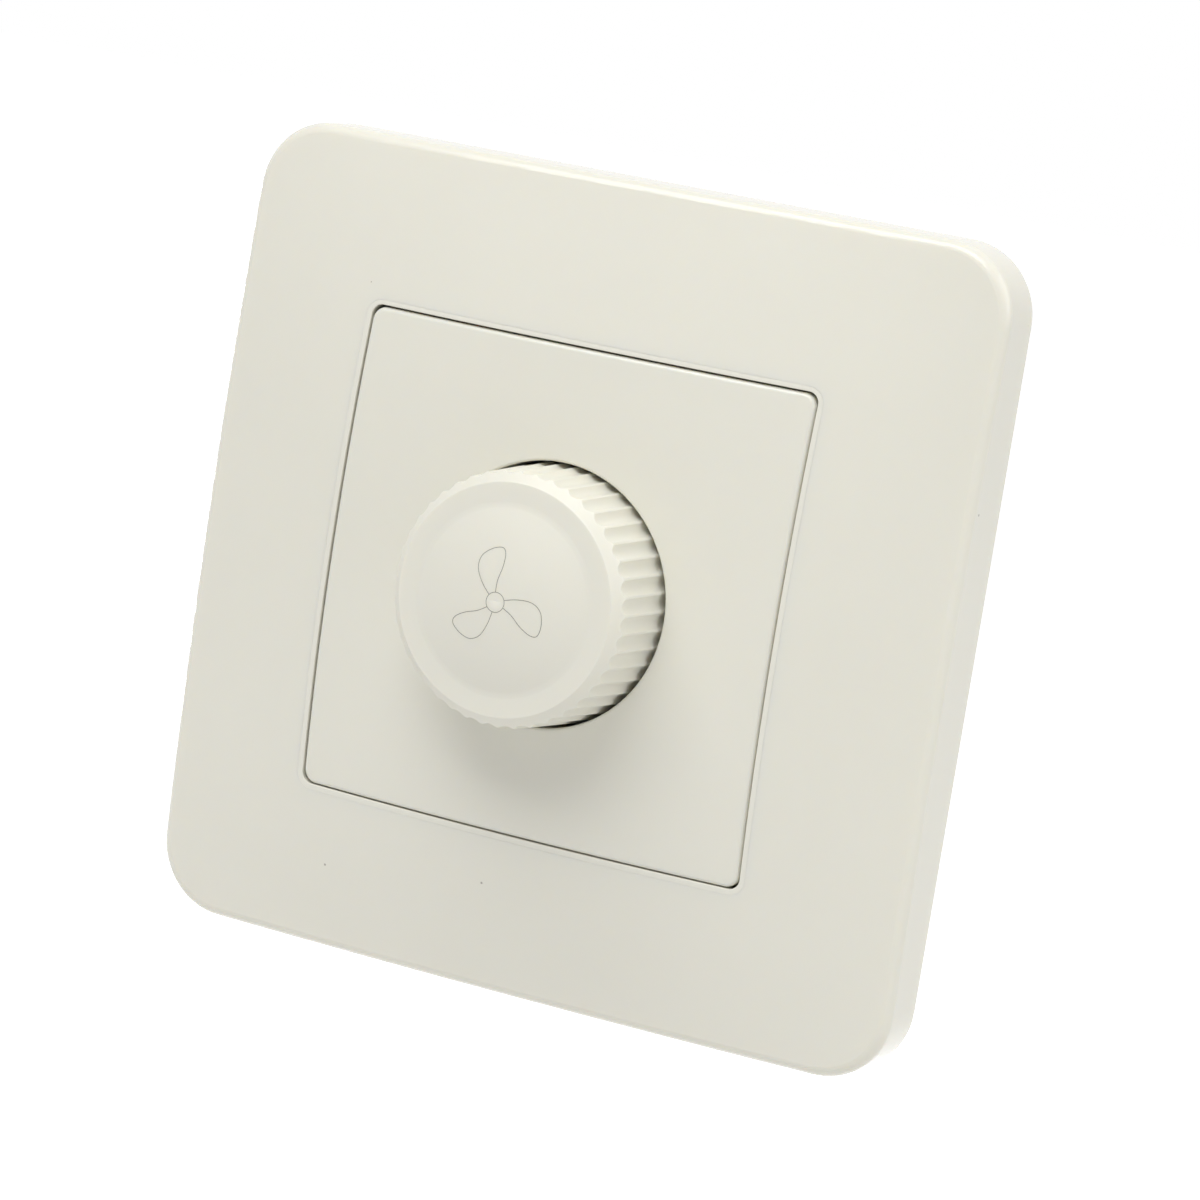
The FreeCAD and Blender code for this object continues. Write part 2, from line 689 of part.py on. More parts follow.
def make_centre_panel():
    """Domed panel: a shell that stands on the base, with a sleeve round the knob hole and four legs."""
    top = size.panel_crown + size.overcut
    blank = rounded_block(
        "panel_blank", panel_size, panel_size, size.opening_corner, size.deck_thickness, top
    )
    outside = common("panel_outside", blank, panel_crown("panel_front", 0))
    rounded = round_front("panel_rounded", outside, 0, size.panel_round)
    inside = panel_size - size.panel_wall * 2
    space = rounded_block("panel_space", inside, inside, size.panel_inner_corner, WALL, top)
    hollow = common("panel_hollow", space, panel_crown("panel_ceiling", size.panel_wall.number))
    sleeve_radius = size.hole_radius + size.sleeve_wall
    sleeve = rod("panel_sleeve", (0, 0, size.sleeve_base), sleeve_radius, top - size.sleeve_base)
    ring = cut("panel_ring", hollow, [sleeve])
    hole = rod("panel_hole", (0, 0, WALL), size.hole_radius, top)
    shell = cut("panel_shell", rounded, [ring, hole])
    eased = round_front("panel_eased", shell, 1, size.hole_round)
    legs = [make_panel_leg(f"panel_leg_{number}", *sides) for number, sides in enumerate(CORNERS, start=1)]
    return fuse("centre_panel", [eased] + legs)


def make_panel_leg(label, across, up):
    """A leg that passes through the base and catches behind it with a barb."""
    middle = size.leg_place * across
    left, right = middle - size.leg_width / 2, middle + size.leg_width / 2
    foot = -size.leg_reach
    barb_tip = leg_inner - size.barb_depth
    stem_y = sorted((leg_inner * up, leg_outer * up - size.leg_slack * up), key=lambda y: y.number)
    barb_y = sorted((barb_tip * up, leg_inner * up), key=lambda y: y.number)
    knee = size.deck_thickness + size.panel_wall
    stem = box(label + "_stem", (left, stem_y[0], foot), (right, stem_y[1], knee))
    barb = box(label + "_barb", (left, barb_y[0], foot), (right, barb_y[1], foot + size.barb_height))
    return fuse(label, [stem, barb])


# Base and housing
def make_mounting_base():
    """Plate on the wall: screw slots, cooling slots, a stiffening rib and recesses for the frame's hooks."""
    corner = size.plate_corner - size.frame_wall - size.base_gap
    body = rounded_block("mounting_base", base_size, base_size, corner, WALL, size.deck_thickness)
    rib = new_sketch(body, "XY_Plane", size.deck_thickness)
    rib_outer = base_size - size.rib_inset * 2
    rib_inner = rib_outer - size.rib_wall * 2
    draw_rectangle(rib, WALL, WALL, rib_outer, rib_outer)
    draw_rectangle(rib, WALL, WALL, rib_inner, rib_inner)
    add_pad(body, rib, size.rib_height)
    openings = new_sketch(body, "XY_Plane")
    draw_circle(openings, WALL, WALL, size.bush_radius + size.screw_slack)
    lug_width = size.lug_width + size.fit_slack * 2
    draw_rectangle(openings, -size.lug_place, WALL, size.lug_size + size.fit_slack * 2, lug_width)
    for side in SIDES:
        draw_slot(openings, size.screw_pitch / 2 * side, WALL, size.slot_length, size.slot_radius)
        for step in range(int(size.deck_vent_count.number)):
            x = (size.deck_vent_place + size.vent_pitch * step) * side
            draw_rectangle(openings, x, WALL, size.vent_width, size.vent_length)
    for x, y in BOSSES:
        draw_circle(openings, x, y, size.screw_radius + size.screw_slack)
    leg_depth = size.leg_thickness + size.leg_slack
    leg_middle = leg_outer - leg_depth / 2
    for across, up in CORNERS:
        draw_rectangle(
            openings,
            size.leg_place * across,
            leg_middle * up,
            size.leg_width + size.leg_slack * 2,
            leg_depth + size.leg_slack,
        )
    add_pocket(body, openings)
    recess = new_sketch(body, "XY_Plane")
    reach = size.hook_depth + size.fit_slack
    recess_length = size.hook_length + size.fit_slack * 2
    draw_rectangle(recess, base_size / 2 - reach / 2, WALL, reach + size.overcut, recess_length)
    pocket = add_pocket(body, recess, size.hook_high + size.fit_slack)
    add_pattern(body, pocket, size.hook_count)
    return body


def make_rear_housing():
    """Open box in the wall: screw bosses in its corners, shelves for the board, slots for air."""
    back = -size.housing_depth
    outer = rounded_block(
        "housing_outer", size.housing_width, size.housing_height, size.housing_corner, back, WALL
    )
    add_fillet(outer, outer.Tip, level_edges(outer.Shape, back), size.housing_round)
    corner = size.housing_corner - size.housing_wall
    space = rounded_block("housing_space", inner_width, inner_height, corner, housing_floor, size.overcut)
    bosses = [
        rod(f"housing_boss_{number}", (x, y, back), size.boss_radius, size.housing_depth)
        for number, (x, y) in enumerate(BOSSES, start=1)
    ]
    shelves = [make_shelf(f"housing_shelf_{number}", *sides) for number, sides in enumerate(CORNERS, start=1)]
    pilots = [
        rod(
            f"housing_pilot_{number}",
            (x, y, -size.screw_length),
            size.screw_radius + size.thread_slack,
            size.screw_length + size.overcut,
        )
        for number, (x, y) in enumerate(BOSSES, start=1)
    ]
    shell = cut("housing_shell", outer, [space])
    filled = fuse("housing_filled", [shell] + bosses + shelves)
    return cut("rear_housing", filled, pilots + make_housing_vents() + make_housing_ports())


def make_shelf(label, across, up):
    """A post against a side wall that carries the circuit board."""
    wall = inner_width / 2 * across
    inner = (inner_width / 2 - size.shelf_depth) * across
    x = sorted((wall, inner), key=lambda value: value.number)
    middle = size.shelf_place * up
    half = size.shelf_width / 2
    return box(label, (x[0], middle - half, housing_floor), (x[1], middle + half, board_back))


def make_housing_vents():
    """Rows of slots through the upper and lower walls."""
    vents = []
    high = -size.case_vent_top
    low = high - size.case_vent_length
    reach = size.housing_height / 2 + size.overcut
    half = size.vent_width / 2
    count = int(size.case_vent_count.number)
    for number in range(1, count + 1):
        x = size.vent_pitch * (number - (count + 1) / 2)
        vents.append(box(f"housing_vent_{number}", (x - half, -reach, low), (x + half, reach, high)))
    return vents


def make_housing_ports():
    """Holes for the two wires in the lower wall and for the screwdriver in the back."""
    ports = []
    depth = size.housing_wall + size.overcut * 2
    for number, x in enumerate(WAYS, start=1):
        start = (x, -size.housing_height / 2 - size.overcut, -entry_depth)
        wire = rod(f"housing_wire_port_{number}", start, size.entry_radius, depth, ALONG_Y)
        back = (x, -size.way_down, -size.housing_depth - size.overcut)
        driver = rod(f"housing_driver_port_{number}", back, size.terminal_head + size.fit_slack, depth)
        ports += [wire, driver]
    return ports


def make_housing_screws():
    """Four pan-head screws that hold the housing to the base."""
    screws = []
    for number, (x, y) in enumerate(BOSSES, start=1):
        label = f"housing_screw_{number}"
        seat = size.deck_thickness
        head = rod(label + "_head", (x, y, seat), size.screw_head_radius, size.screw_head_height)
        shank = rod(label + "_shank", (x, y, seat - size.screw_length), size.screw_radius, size.screw_length)
        long_half, wide_half = size.recess_length / 2, size.recess_width / 2
        floor = seat + size.screw_head_height - size.recess_depth
        high = seat + size.screw_head_height + size.overcut
        arms = [
            box(f"{label}_recess_{turn}", (x - across, y - up, floor), (x + across, y + up, high))
            for turn, across, up in ((1, long_half, wide_half), (2, wide_half, long_half))
        ]
        screws.append(cut(label, fuse(label + "_blank", [head, shank]), arms))
    return group("housing_screws", screws)


# Knob and potentiometer
def make_knob():
    """Fluted knob: domed face in a flat ring, hollow behind, with a flatted bore in its boss."""
    body = new_body("knob")
    sketch = new_sketch(body, "XZ_Plane")
    ring_crest = size.knob_rim + size.ring_fall
    ceiling = size.knob_rim - size.knob_wall
    inner = rim_radius - size.knob_wall
    ring_radius = rim_radius - size.rim_width
    dome_radius = ring_radius - size.ring_width
    rim_edge = size.knob_rim - size.rim_fall
    corners = [
        (dome_radius, ring_crest),
        (ring_radius, size.knob_rim),
        (rim_radius, rim_edge),
        (knob_radius, size.knob_base),
        (inner, size.knob_base),
        (inner, ceiling),
        (size.boss_outer, ceiling),
        (size.boss_outer, size.boss_base),
        (WALL, size.boss_base),
        (WALL, size.dome_top),
    ]
    draw_domed_outline(sketch, corners)
    round_corner(sketch, 1, size.ring_round)
    round_corner(sketch, 2, size.shoulder_round)
    turned = add_revolution(body, sketch)
    add_fillet(body, turned, ring_edges(turned.Shape, dome_radius, ring_crest), size.dome_round)
    cut_flutes(body)
    add_knob_ribs(body, ceiling, inner)
    cut_bore(body)
    return body


def draw_domed_outline(sketch, corners):
    """Straight lines from corner to corner, closed by an arc about the axis."""
    last = len(corners) - 1
    for index in range(last):
        sketch.addGeometry(Part.LineSegment(point(*corners[index]), point(*corners[index + 1])), False)
        place_point(sketch, index, 1, *corners[index])
        if index:
            sketch.addConstraint(Sketcher.Constraint("Coincident", index - 1, 2, index, 1))
    place_point(sketch, last - 1, 2, *corners[last])
    start, end = point(*corners[0]), point(*corners[last])
    rise = end.y - start.y
    radius = (start.x ** 2 + rise ** 2) / (2 * rise)
    middle = Vector(0, end.y - radius, 0)
    through = middle + ((start + end) / 2 - middle).normalize() * radius
    arc = sketch.addGeometry(Part.Arc(start, through, end), False)
    sketch.addConstraint(Sketcher.Constraint("Coincident", arc, 1, 0, 1))
    sketch.addConstraint(Sketcher.Constraint("Coincident", arc, 2, last - 1, 2))
    sketch.addConstraint(Sketcher.Constraint("PointOnObject", arc, 3, -2))


def round_corner(sketch, line, radius):
    """Round the corner at the start of a line, with the corner's own point kept."""
    arc = sketch.GeometryCount
    sketch.fillet(line, 1, radius.number, True, True)
    constrain(sketch, "Radius", arc, to=radius)


def cut_flutes(body):
    """Flutes along the tapered side, each turned about an axis beside it, which run out on the rim."""
    sketch = new_sketch(body, "XZ_Plane")
    low = size.knob_base - size.overcut
    floor_low = knob_radius - size.flute_depth
    floor_high = rim_radius - size.flute_depth
    axis_low = (floor_low + size.flute_radius, low)
    axis_high = (floor_high + size.flute_radius, size.knob_rim)
    draw_outline(sketch, [(floor_low, low), axis_low, axis_high, (floor_high, size.knob_rim)])
    axis = sketch.addGeometry(Part.LineSegment(point(*axis_low), point(*axis_high)), True)
    place_point(sketch, axis, 1, *axis_low)
    place_point(sketch, axis, 2, *axis_high)
    before = body.Shape.Volume
    flute = body.newObject("PartDesign::Groove", "knob_flute")
    flute.Profile = sketch
    flute.ReferenceAxis = (sketch, ["Axis0"])
    doc.recompute()
    add_pattern(body, flute, size.flute_count)
    expect_cut(body, before)


def add_knob_ribs(body, ceiling, inner):
    """Thin ribs that tie the boss to the wall."""
    sketch = new_sketch(body, "XY_Plane", size.knob_rib_base)
    low = size.boss_outer - size.knob_wall / 2
    high = inner + size.knob_wall / 2
    draw_rectangle(sketch, (low + high) / 2, WALL, high - low, size.knob_rib_wall)
    rib = add_pad(body, sketch, ceiling - size.knob_rib_base + size.knob_wall / 2)
    add_pattern(body, rib, size.knob_rib_count)


def cut_bore(body):
    """A round bore with a flat that leaves room for the leaf spring."""
    radius = size.shaft_radius + size.bore_slack
    flat = size.shaft_flat + size.spring_thickness + size.bore_slack * 2
    depth = size.shaft_top + size.bore_end_gap - size.boss_base
    sketch = new_sketch(body, "XY_Plane", size.boss_base)
    reach = (radius.number ** 2 - flat.number ** 2) ** 0.5
    low = -flat.number
    left, right = Vector(-reach, low, 0), Vector(reach, low, 0)
    arc = sketch.addGeometry(Part.Arc(right, Vector(0, radius.number, 0), left), False)
    line = sketch.addGeometry(Part.LineSegment(left, right), False)
    sketch.addConstraint(Sketcher.Constraint("Coincident", arc, 2, line, 1))
    sketch.addConstraint(Sketcher.Constraint("Coincident", line, 2, arc, 1))
    sketch.addConstraint(Sketcher.Constraint("Coincident", arc, 3, -1, 1))
    sketch.addConstraint(Sketcher.Constraint("Horizontal", line))
    constrain(sketch, "Radius", arc, to=radius)
    constrain(sketch, "DistanceY", -1, 1, line, 1, to=-flat)
    add_pocket(body, sketch, depth)


def make_knob_spring():
    """Leaf spring between the shaft's flat and the bore's flat."""
    body = new_body("knob_spring")
    sketch = new_sketch(body, "XY_Plane", size.boss_base + size.bore_end_gap)
    middle = size.shaft_flat + size.bore_slack + size.spring_thickness / 2
    draw_rectangle(sketch, WALL, -middle, size.spring_width, size.spring_thickness)
    add_pad(body, sketch, size.shaft_top - size.boss_base - size.bore_end_gap)
    return body


def make_pot_shaft():
    """Turned shaft with a collar under the bushing and a flat for the knob."""
    outline = [
        (WALL, rotor_top),
        (size.collar_radius, rotor_top),
        (size.collar_radius, collar_top),
        (size.shaft_radius, collar_top),
        (size.shaft_radius, size.shaft_top),
        (WALL, size.shaft_top),
    ]
    body = turned_body("pot_shaft", outline)
    sketch = new_sketch(body, "XY_Plane", size.boss_base)
    low = size.shaft_radius + size.overcut
    draw_rectangle(sketch, WALL, -(low + size.shaft_flat) / 2, size.shaft_radius * 2, low - size.shaft_flat)
    add_pocket(body, sketch)
    return body


def make_wiper_rotor():
    """Moulded disc under the shaft with a wiper that hangs over the track."""
    low = rotor_top - size.rotor_height
    disc = rod("rotor_disc", (0, 0, low), size.rotor_radius, size.rotor_height)
    inner = size.track_inner
    wiper = box(
        "rotor_wiper",
        (-size.wiper_half, inner, track_top + size.wiper_slack),
        (size.wiper_half, size.rotor_radius - size.wiper_half, rotor_top - size.rotor_height / 2),
    )
    return fuse("wiper_rotor", [disc, wiper])


def make_pot_bushing():
    """Die-cast bushing: flange behind the base, threaded neck through it and a locating lug."""
    bore = size.shaft_radius + size.running_slack
    outline = [
        (bore, flange_back),
        (size.bush_flange, flange_back),
        (size.bush_flange, WALL),
        (size.bush_radius, WALL),
        (size.bush_radius, size.bush_top),
        (bore, size.bush_top),
    ]
    body = turned_body("pot_bushing", outline)
    sketch = new_sketch(body, "XY_Plane")
    draw_rectangle(sketch, -size.lug_place, WALL, size.lug_size, size.lug_width)
    add_pad(body, sketch, size.lug_height)
    return body


def make_lock_washer():
    """Toothed washer on the base, round the bushing."""
    bore = size.bush_radius + size.running_slack
    outline = [
        (bore, size.deck_thickness),
        (size.washer_radius, size.deck_thickness),
        (size.washer_radius, nut_base),
        (bore, nut_base),
    ]
    body = turned_body("lock_washer", outline)
    sketch = new_sketch(body, "XY_Plane", size.deck_thickness)
    reach = size.washer_slot_depth + size.overcut
    middle = size.washer_radius - size.washer_slot_depth + reach / 2
    draw_rectangle(sketch, middle, WALL, reach, size.washer_slot)
    slot = add_pocket(body, sketch)
    add_pattern(body, slot, size.washer_teeth)
    return body


def make_pot_nut():
    """Hexagon nut that clamps the bushing to the base."""
    hexagon = doc.addObject("Part::Prism", "nut_hexagon")
    hexagon.Polygon = 6
    hexagon.setExpression("Circumradius", size.nut_radius.formula)
    hexagon.setExpression("Height", size.nut_height.formula)
    hexagon.setExpression("Placement.Base.z", nut_base.formula)
    bore = size.bush_radius + size.running_slack
    hole = rod("nut_bore", (0, 0, nut_base - size.overcut), bore, size.nut_height + size.overcut * 2)
    return cut("pot_nut", hexagon, [hole])


def make_pot_can():
    """Pressed steel can under the flange, with a window for the terminal blades."""
    back = -size.can_depth
    inner = size.can_radius - size.can_wall
    outline = [
        (size.can_hole, back),
        (size.can_radius, back),
        (size.can_radius, flange_back),
        (inner, flange_back),
        (inner, can_floor),
        (size.can_hole, can_floor),
    ]
    cup = turned_body("can_cup", outline)
    high = track_top + size.blade_thickness + size.fit_slack
    window = box(
        "can_window",
        (-size.window_half, -size.can_radius - size.overcut, can_floor),
        (size.window_half, -size.track_inner, high),
    )
    return cut("pot_can", cup, [window])


def make_resistance_track():
    """Flat ring that carries the resistance track, on the floor of the can."""
    outline = [
        (size.track_inner, can_floor),
        (size.track_outer, can_floor),
        (size.track_outer, track_top),
        (size.track_inner, track_top),
    ]
    return turned_body("resistance_track", outline)


def make_pot_terminals():
    """Three blades from the track, out of the can's window and back to the board."""
    blades = []
    high = track_top + size.blade_thickness
    inner = -size.track_outer + size.blade_half * 2
    for step in (-1, 0, 1):
        label = f"pot_blade_{step + 2}"
        left = size.blade_pitch * step - size.blade_half
        right = size.blade_pitch * step + size.blade_half
        arm = box(label + "_arm", (left, -size.blade_reach, track_top), (right, inner, high))
        foot_inner = size.blade_thickness - size.blade_reach
        foot = box(label + "_foot", (left, -size.blade_reach, board_front), (right, foot_inner, high))
        blades.append(fuse(label, [arm, foot]))
    return group("pot_terminals", blades)


def make_switch_case():
    """Closed case of the mains switch that the shaft works at its off end."""
    return rounded_block(
        "switch_case",
        size.switch_size,
        size.switch_size,
        size.switch_corner,
        board_front + size.switch_gap,
        -size.can_depth,
    )


def make_switch_pins():
    """Short pins that carry the switch on the board."""
    pins = []
    for across, up in CORNERS:
        x, y = size.pin_pitch / 2 * across, size.pin_pitch / 2 * up
        half, thin = size.blade_half, size.blade_thickness / 2
        low, high = board_front, board_front + size.switch_gap
        pins.append(box(f"switch_pin_{len(pins) + 1}", (x - half, y - thin, low), (x + half, y + thin, high)))
    return group("switch_pins", pins)


# Circuit board and what it carries
def make_circuit_board():
    """Board on the housing's shelves, notched round the screw bosses."""
    width, height = inner_width - size.fit_slack * 2, inner_height - size.fit_slack * 2
    blank = rounded_block("board_blank", width, height, size.board_corner, board_back, board_front)
    radius = size.boss_radius + size.notch_slack
    low, depth = board_back - size.overcut, size.board_thickness + size.overcut * 2
    notches = [
        rod(f"board_notch_{number}", (x, y, low), radius, depth)
        for number, (x, y) in enumerate(BOSSES, start=1)
    ]
    return cut("circuit_board", blank, notches)


def make_heat_sink():
    """Aluminium plate beside the board with fins at both ends and a tapped hole for the triac."""
    half = size.sink_length / 2
    top = -size.sink_clear
    plate = box("sink_plate", (sink_face, -half, board_front), (sink_back, half, top))
    fins = []
    for up in SIDES:
        for step in range(int(size.fin_count.number)):
            middle = (size.fin_start + size.fin_pitch * step) * up
            low, high = middle - size.fin_wall / 2, middle + size.fin_wall / 2
            label = f"sink_fin_{len(fins) + 1}"
            fins.append(box(label, (sink_face - size.fin_depth, low, board_front), (sink_back, high, top)))
    start = (sink_face - size.overcut, tab_hole_y(), triac_middle())
    depth = size.sink_thickness + size.overcut * 2
    hole = rod("sink_hole", start, size.tab_screw_radius + size.thread_slack, depth, ALONG_X)
    return cut("heat_sink", fuse("sink_blank", [plate] + fins), [hole])


def triac_middle():
    return board_front + size.triac_lift + size.triac_width / 2


def tab_hole_y():
    return size.triac_length - size.triac_start + size.tab_length / 2


def make_triac():
    """Power switch flat against the heat sink, its leads bent down to the board."""
    low = board_front + size.triac_lift
    high = low + size.triac_width
    start = -size.triac_start
    end = start + size.triac_length
    tab_face = sink_face - size.triac_tab
    case = box("triac_case", (sink_face - size.triac_body, start, low), (sink_face, end, high))
    tab = box("triac_plate", (tab_face, end, low), (sink_face, end + size.tab_length, high))
    leads = []
    lead_x = sink_face - size.triac_body / 2
    for step in (-1, 0, 1):
        z = triac_middle() + size.lead_pitch * step
        label = f"triac_lead_{step + 2}"
        reach = start - size.lead_reach - size.lead_pitch / 2 * step
        near, far = lead_x - size.lead_half, lead_x + size.lead_half
        arm = box(label + "_arm", (near, reach, z - size.lead_half), (far, start, z + size.lead_half))
        foot_end = reach + size.lead_half * 2
        foot = box(label + "_foot", (near, reach, board_front), (far, foot_end, z + size.lead_half))
        leads += [arm, foot]
    start_hole = (tab_face - size.overcut, tab_hole_y(), triac_middle())
    depth = size.triac_tab + size.overcut * 2
    hole = rod("triac_hole", start_hole, size.tab_screw_radius + size.screw_slack, depth, ALONG_X)
    return cut("triac", fuse("triac_blank", [case, tab] + leads), [hole])


def make_triac_screw():
    """Screw that clamps the triac's tab to the heat sink."""
    y, z = tab_hole_y(), triac_middle()
    seat = sink_face - size.triac_tab
    head_start = (seat - size.tab_head_height, y, z)
    head = rod("tab_screw_head", head_start, size.tab_head_radius, size.tab_head_height, ALONG_X)
    shank = rod("tab_screw_shank", (seat, y, z), size.tab_screw_radius, sink_back - seat, ALONG_X)
    return fuse("triac_screw", [head, shank])


def make_choke_core():
    """Ferrite ring that lies over the board inside its winding."""
    low = board_front + size.wire_diameter
    outer = rod("core_disc", (choke_x, choke_y, low), size.core_outer, size.core_height)
    reach = size.core_height + size.overcut * 2
    hole = rod("core_hole", (choke_x, choke_y, low - size.overcut), size.core_inner, reach)
    return cut("choke_core", outer, [hole])


def make_choke_winding():
    """Copper winding laid round most of the ring."""
    wire = size.wire_diameter
    low, height = board_front, size.core_height + wire * 2
    outer = rod("winding_disc", (choke_x, choke_y, low), size.core_outer + wire, height)
    reach = height + size.overcut * 2
    hole = rod("winding_hole", (choke_x, choke_y, low - size.overcut), size.core_inner - wire, reach)
    outer.setExpression("Angle", size.winding_angle.formula)
    seat = rod("winding_seat", (choke_x, choke_y, low + wire), size.core_outer, size.core_height)
    eye = rod("winding_eye", (choke_x, choke_y, low), size.core_inner, height)
    ring = cut("winding_ring", seat, [eye])
    return cut("choke_winding", outer, [hole, ring])


def make_capacitor(label, width, thickness, height, across, up):
    """Moulded film capacitor standing on the board."""
    return rounded_block(
        label, width, thickness, size.part_corner, board_front, board_front + height, across, up
    )


def make_fuse():
    """Glass fuse in two spring clips: the glass, its caps and the clips."""
    x, z = fuse_x, fuse_axis
    low = size.fuse_up - size.glass_length / 2
    tube_blank = rod("fuse_glass", (x, low, z), size.glass_radius, size.glass_length, ALONG_Y)
    bore_radius = size.glass_radius - size.clip_wall
    reach = size.glass_length + size.overcut * 2
    bore = rod("fuse_bore", (x, low - size.overcut, z), bore_radius, reach, ALONG_Y)
    tube = cut("fuse_tube", tube_blank, [bore])
    starts = (low - size.fuse_cap, low + size.glass_length)
    caps = [
        rod(f"fuse_cap_{number}", (x, start, z), size.fuse_radius, size.fuse_cap, ALONG_Y)
        for number, start in enumerate(starts, start=1)
    ]
    clips = [make_fuse_clip(f"fuse_clip_{number}", start) for number, start in enumerate(starts, start=1)]
    return [tube, group("fuse_caps", caps), group("fuse_clips", clips)]


def make_fuse_clip(label, start):
    """A clip that reaches just past the middle of the fuse's cap."""
    x, z = fuse_x, fuse_axis
    half = size.fuse_radius + size.clip_wall
    near = start + (size.fuse_cap - size.clip_length) / 2
    far = near + size.clip_length
    jaw = box(label + "_jaw", (x - half, near, board_front), (x + half, far, z + size.fuse_radius / 2))
    bed = rod(
        label + "_bed",
        (x, near - size.overcut, z),
        size.fuse_radius + size.clip_slack,
        size.clip_length + size.overcut * 2,
        ALONG_Y,
    )
    return cut(label, jaw, [bed])


def make_axial_part(label, radius, length, y):
    """A round part that lies on the board, with a wire bent down at each end."""
    z = board_front + size.axial_lift + radius
    leg_x = length / 2 + size.axial_reach
    knee_x, knee_z = leg_x - size.axial_bend, z - size.axial_bend
    core = rod(label + "_core", (-length / 2, y, z), radius, length, ALONG_X)
    wire = rod(label + "_wire", (-knee_x, y, z), size.axial_wire, knee_x * 2, ALONG_X)
    pieces = [core, wire]
    for side, turn in zip(SIDES, (KNEE_LEFT, KNEE_RIGHT)):
        name = f"{label}_side_{side + 2}"
        knee = (knee_x * side, y, knee_z)
        pieces.append(elbow(name + "_knee", knee, size.axial_bend, size.axial_wire, turn))
        foot = (leg_x * side, y, board_front)
        pieces.append(rod(name + "_leg", foot, size.axial_wire, knee_z - board_front))
    return fuse(label, pieces)


def make_resistors():
    rows = [-size.axial_first - size.axial_pitch * step for step in range(2)]
    bodies = [
        make_axial_part(f"resistor_{number}", size.resistor_radius, size.resistor_length, y)
        for number, y in enumerate(rows, start=1)
    ]
    return group("resistors", bodies)


def make_diac():
    return make_axial_part(
        "diac", size.diac_radius, size.diac_length, -size.axial_first - size.axial_pitch * 2
    )


# Terminals
def make_terminal_block():
    """Moulded block behind the board: two wire holes from below, two screw holes from the back."""
    half = size.block_width / 2
    low = -inner_height / 2
    back = housing_floor + size.fit_slack
    blank = box("block_blank", (-half, low, back), (half, -size.block_top, board_back))
    tools = []
    for number, x in enumerate(WAYS, start=1):
        start = (x, low - size.overcut, -entry_depth)
        depth = clamp_low() - low + size.overcut * 2
        tools.append(rod(f"block_entry_{number}", start, size.entry_radius, depth, ALONG_Y))
        hole = (x, -size.way_down, back - size.overcut)
        reach = clamp_back() - back + size.overcut * 2
        tools.append(rod(f"block_well_{number}", hole, size.terminal_head + size.screw_slack, reach))
        tools.append(make_clamp_box(f"block_pocket_{number}", x, size.thread_slack))
    return cut("terminal_block", blank, tools)


def clamp_low():
    return -size.way_down - size.clamp_length / 2


def clamp_back():
    return -entry_depth - size.clamp_height / 2


def make_clamp_box(label, x, slack):
    """The outside of a brass clamp, with room round it where it is a pocket."""
    half = size.clamp_width / 2 + slack
    return box(
        label,
        (x - half, clamp_low() - slack, clamp_back() - slack),
        (x + half, clamp_low() + size.clamp_length + slack, clamp_back() + size.clamp_height + slack),
    )


def make_terminal_clamps():
    """Brass clamps with a wire hole and a tapped hole."""
    clamps = []
    for number, x in enumerate(WAYS, start=1):
        label = f"terminal_clamp_{number}"
        blank = make_clamp_box(label + "_blank", x, WALL)
        start = (x, clamp_low() - size.overcut, -entry_depth)
        length = size.clamp_length + size.overcut * 2
        wire = rod(label + "_wire_hole", start, size.entry_radius, length, ALONG_Y)
        base = (x, -size.way_down, clamp_back() - size.overcut)
        reach = -entry_depth - clamp_back() + size.overcut
        tapped = rod(label + "_tapped_hole", base, size.terminal_radius + size.thread_slack, reach)
        clamps.append(cut(label, blank, [wire, tapped]))
    return group("terminal_clamps", clamps)


def make_terminal_screws():
    """Slotted screws that press the wires into the clamps."""
    screws = []
    for number, x in enumerate(WAYS, start=1):
        label = f"terminal_screw_{number}"
        seat = clamp_back()
        back = seat - size.terminal_head_height
        y = -size.way_down
        head = rod(label + "_head", (x, y, back), size.terminal_head, size.terminal_head_height)
        tip = -entry_depth - size.tip_gap
        shank = rod(label + "_shank", (x, y, seat), size.terminal_radius, tip - seat)
        half, reach = size.recess_width / 2, size.terminal_head + size.overcut
        slot = box(
            label + "_slot",
            (x - reach, y - half, back - size.overcut),
            (x + reach, y + half, back + size.recess_depth),
        )
        screws.append(cut(label, fuse(label + "_blank", [head, shank]), [slot]))
    return group("terminal_screws", screws)


def make_all():
    film = (size.film_width, size.film_thickness, size.film_height, film_x, size.film_up)
    timing = (
        size.timing_width,
        size.timing_thickness,
        size.timing_height,
        size.timing_across,
        size.timing_up,
    )
    return [
        make_face_frame(),
        make_centre_panel(),
        make_mounting_base(),
        make_rear_housing(),
        make_housing_screws(),
        make_knob(),
        make_knob_spring(),
        make_pot_shaft(),
        make_wiper_rotor(),
        make_pot_bushing(),
        make_lock_washer(),
        make_pot_nut(),
        make_pot_can(),
        make_resistance_track(),
        make_pot_terminals(),
        make_switch_case(),
        make_switch_pins(),
        make_circuit_board(),
        make_heat_sink(),
        make_triac(),
        make_triac_screw(),
        make_choke_core(),
        make_choke_winding(),
        make_capacitor("film_capacitor", *film),
        make_capacitor("timing_capacitor", *timing),
        *make_fuse(),
        make_resistors(),
        make_diac(),
        make_terminal_block(),
        make_terminal_clamps(),
        make_terminal_screws(),
    ]


def stand_upright(pieces):
    for piece in pieces:
        piece.Placement = UPRIGHT
    doc.recompute()


def check(pieces):
    """Stop if anything in the document failed or a piece has no valid solid."""
    for thing in doc.Objects:
        if "Invalid" in thing.State or "Error" in thing.State:
            raise RuntimeError(f"{thing.Label} failed: {thing.State}")
    for piece in pieces:
        if piece.Shape.isNull() or not piece.Shape.isValid() or not piece.Shape.Solids:
            raise RuntimeError(f"{piece.Label} has no valid solid")


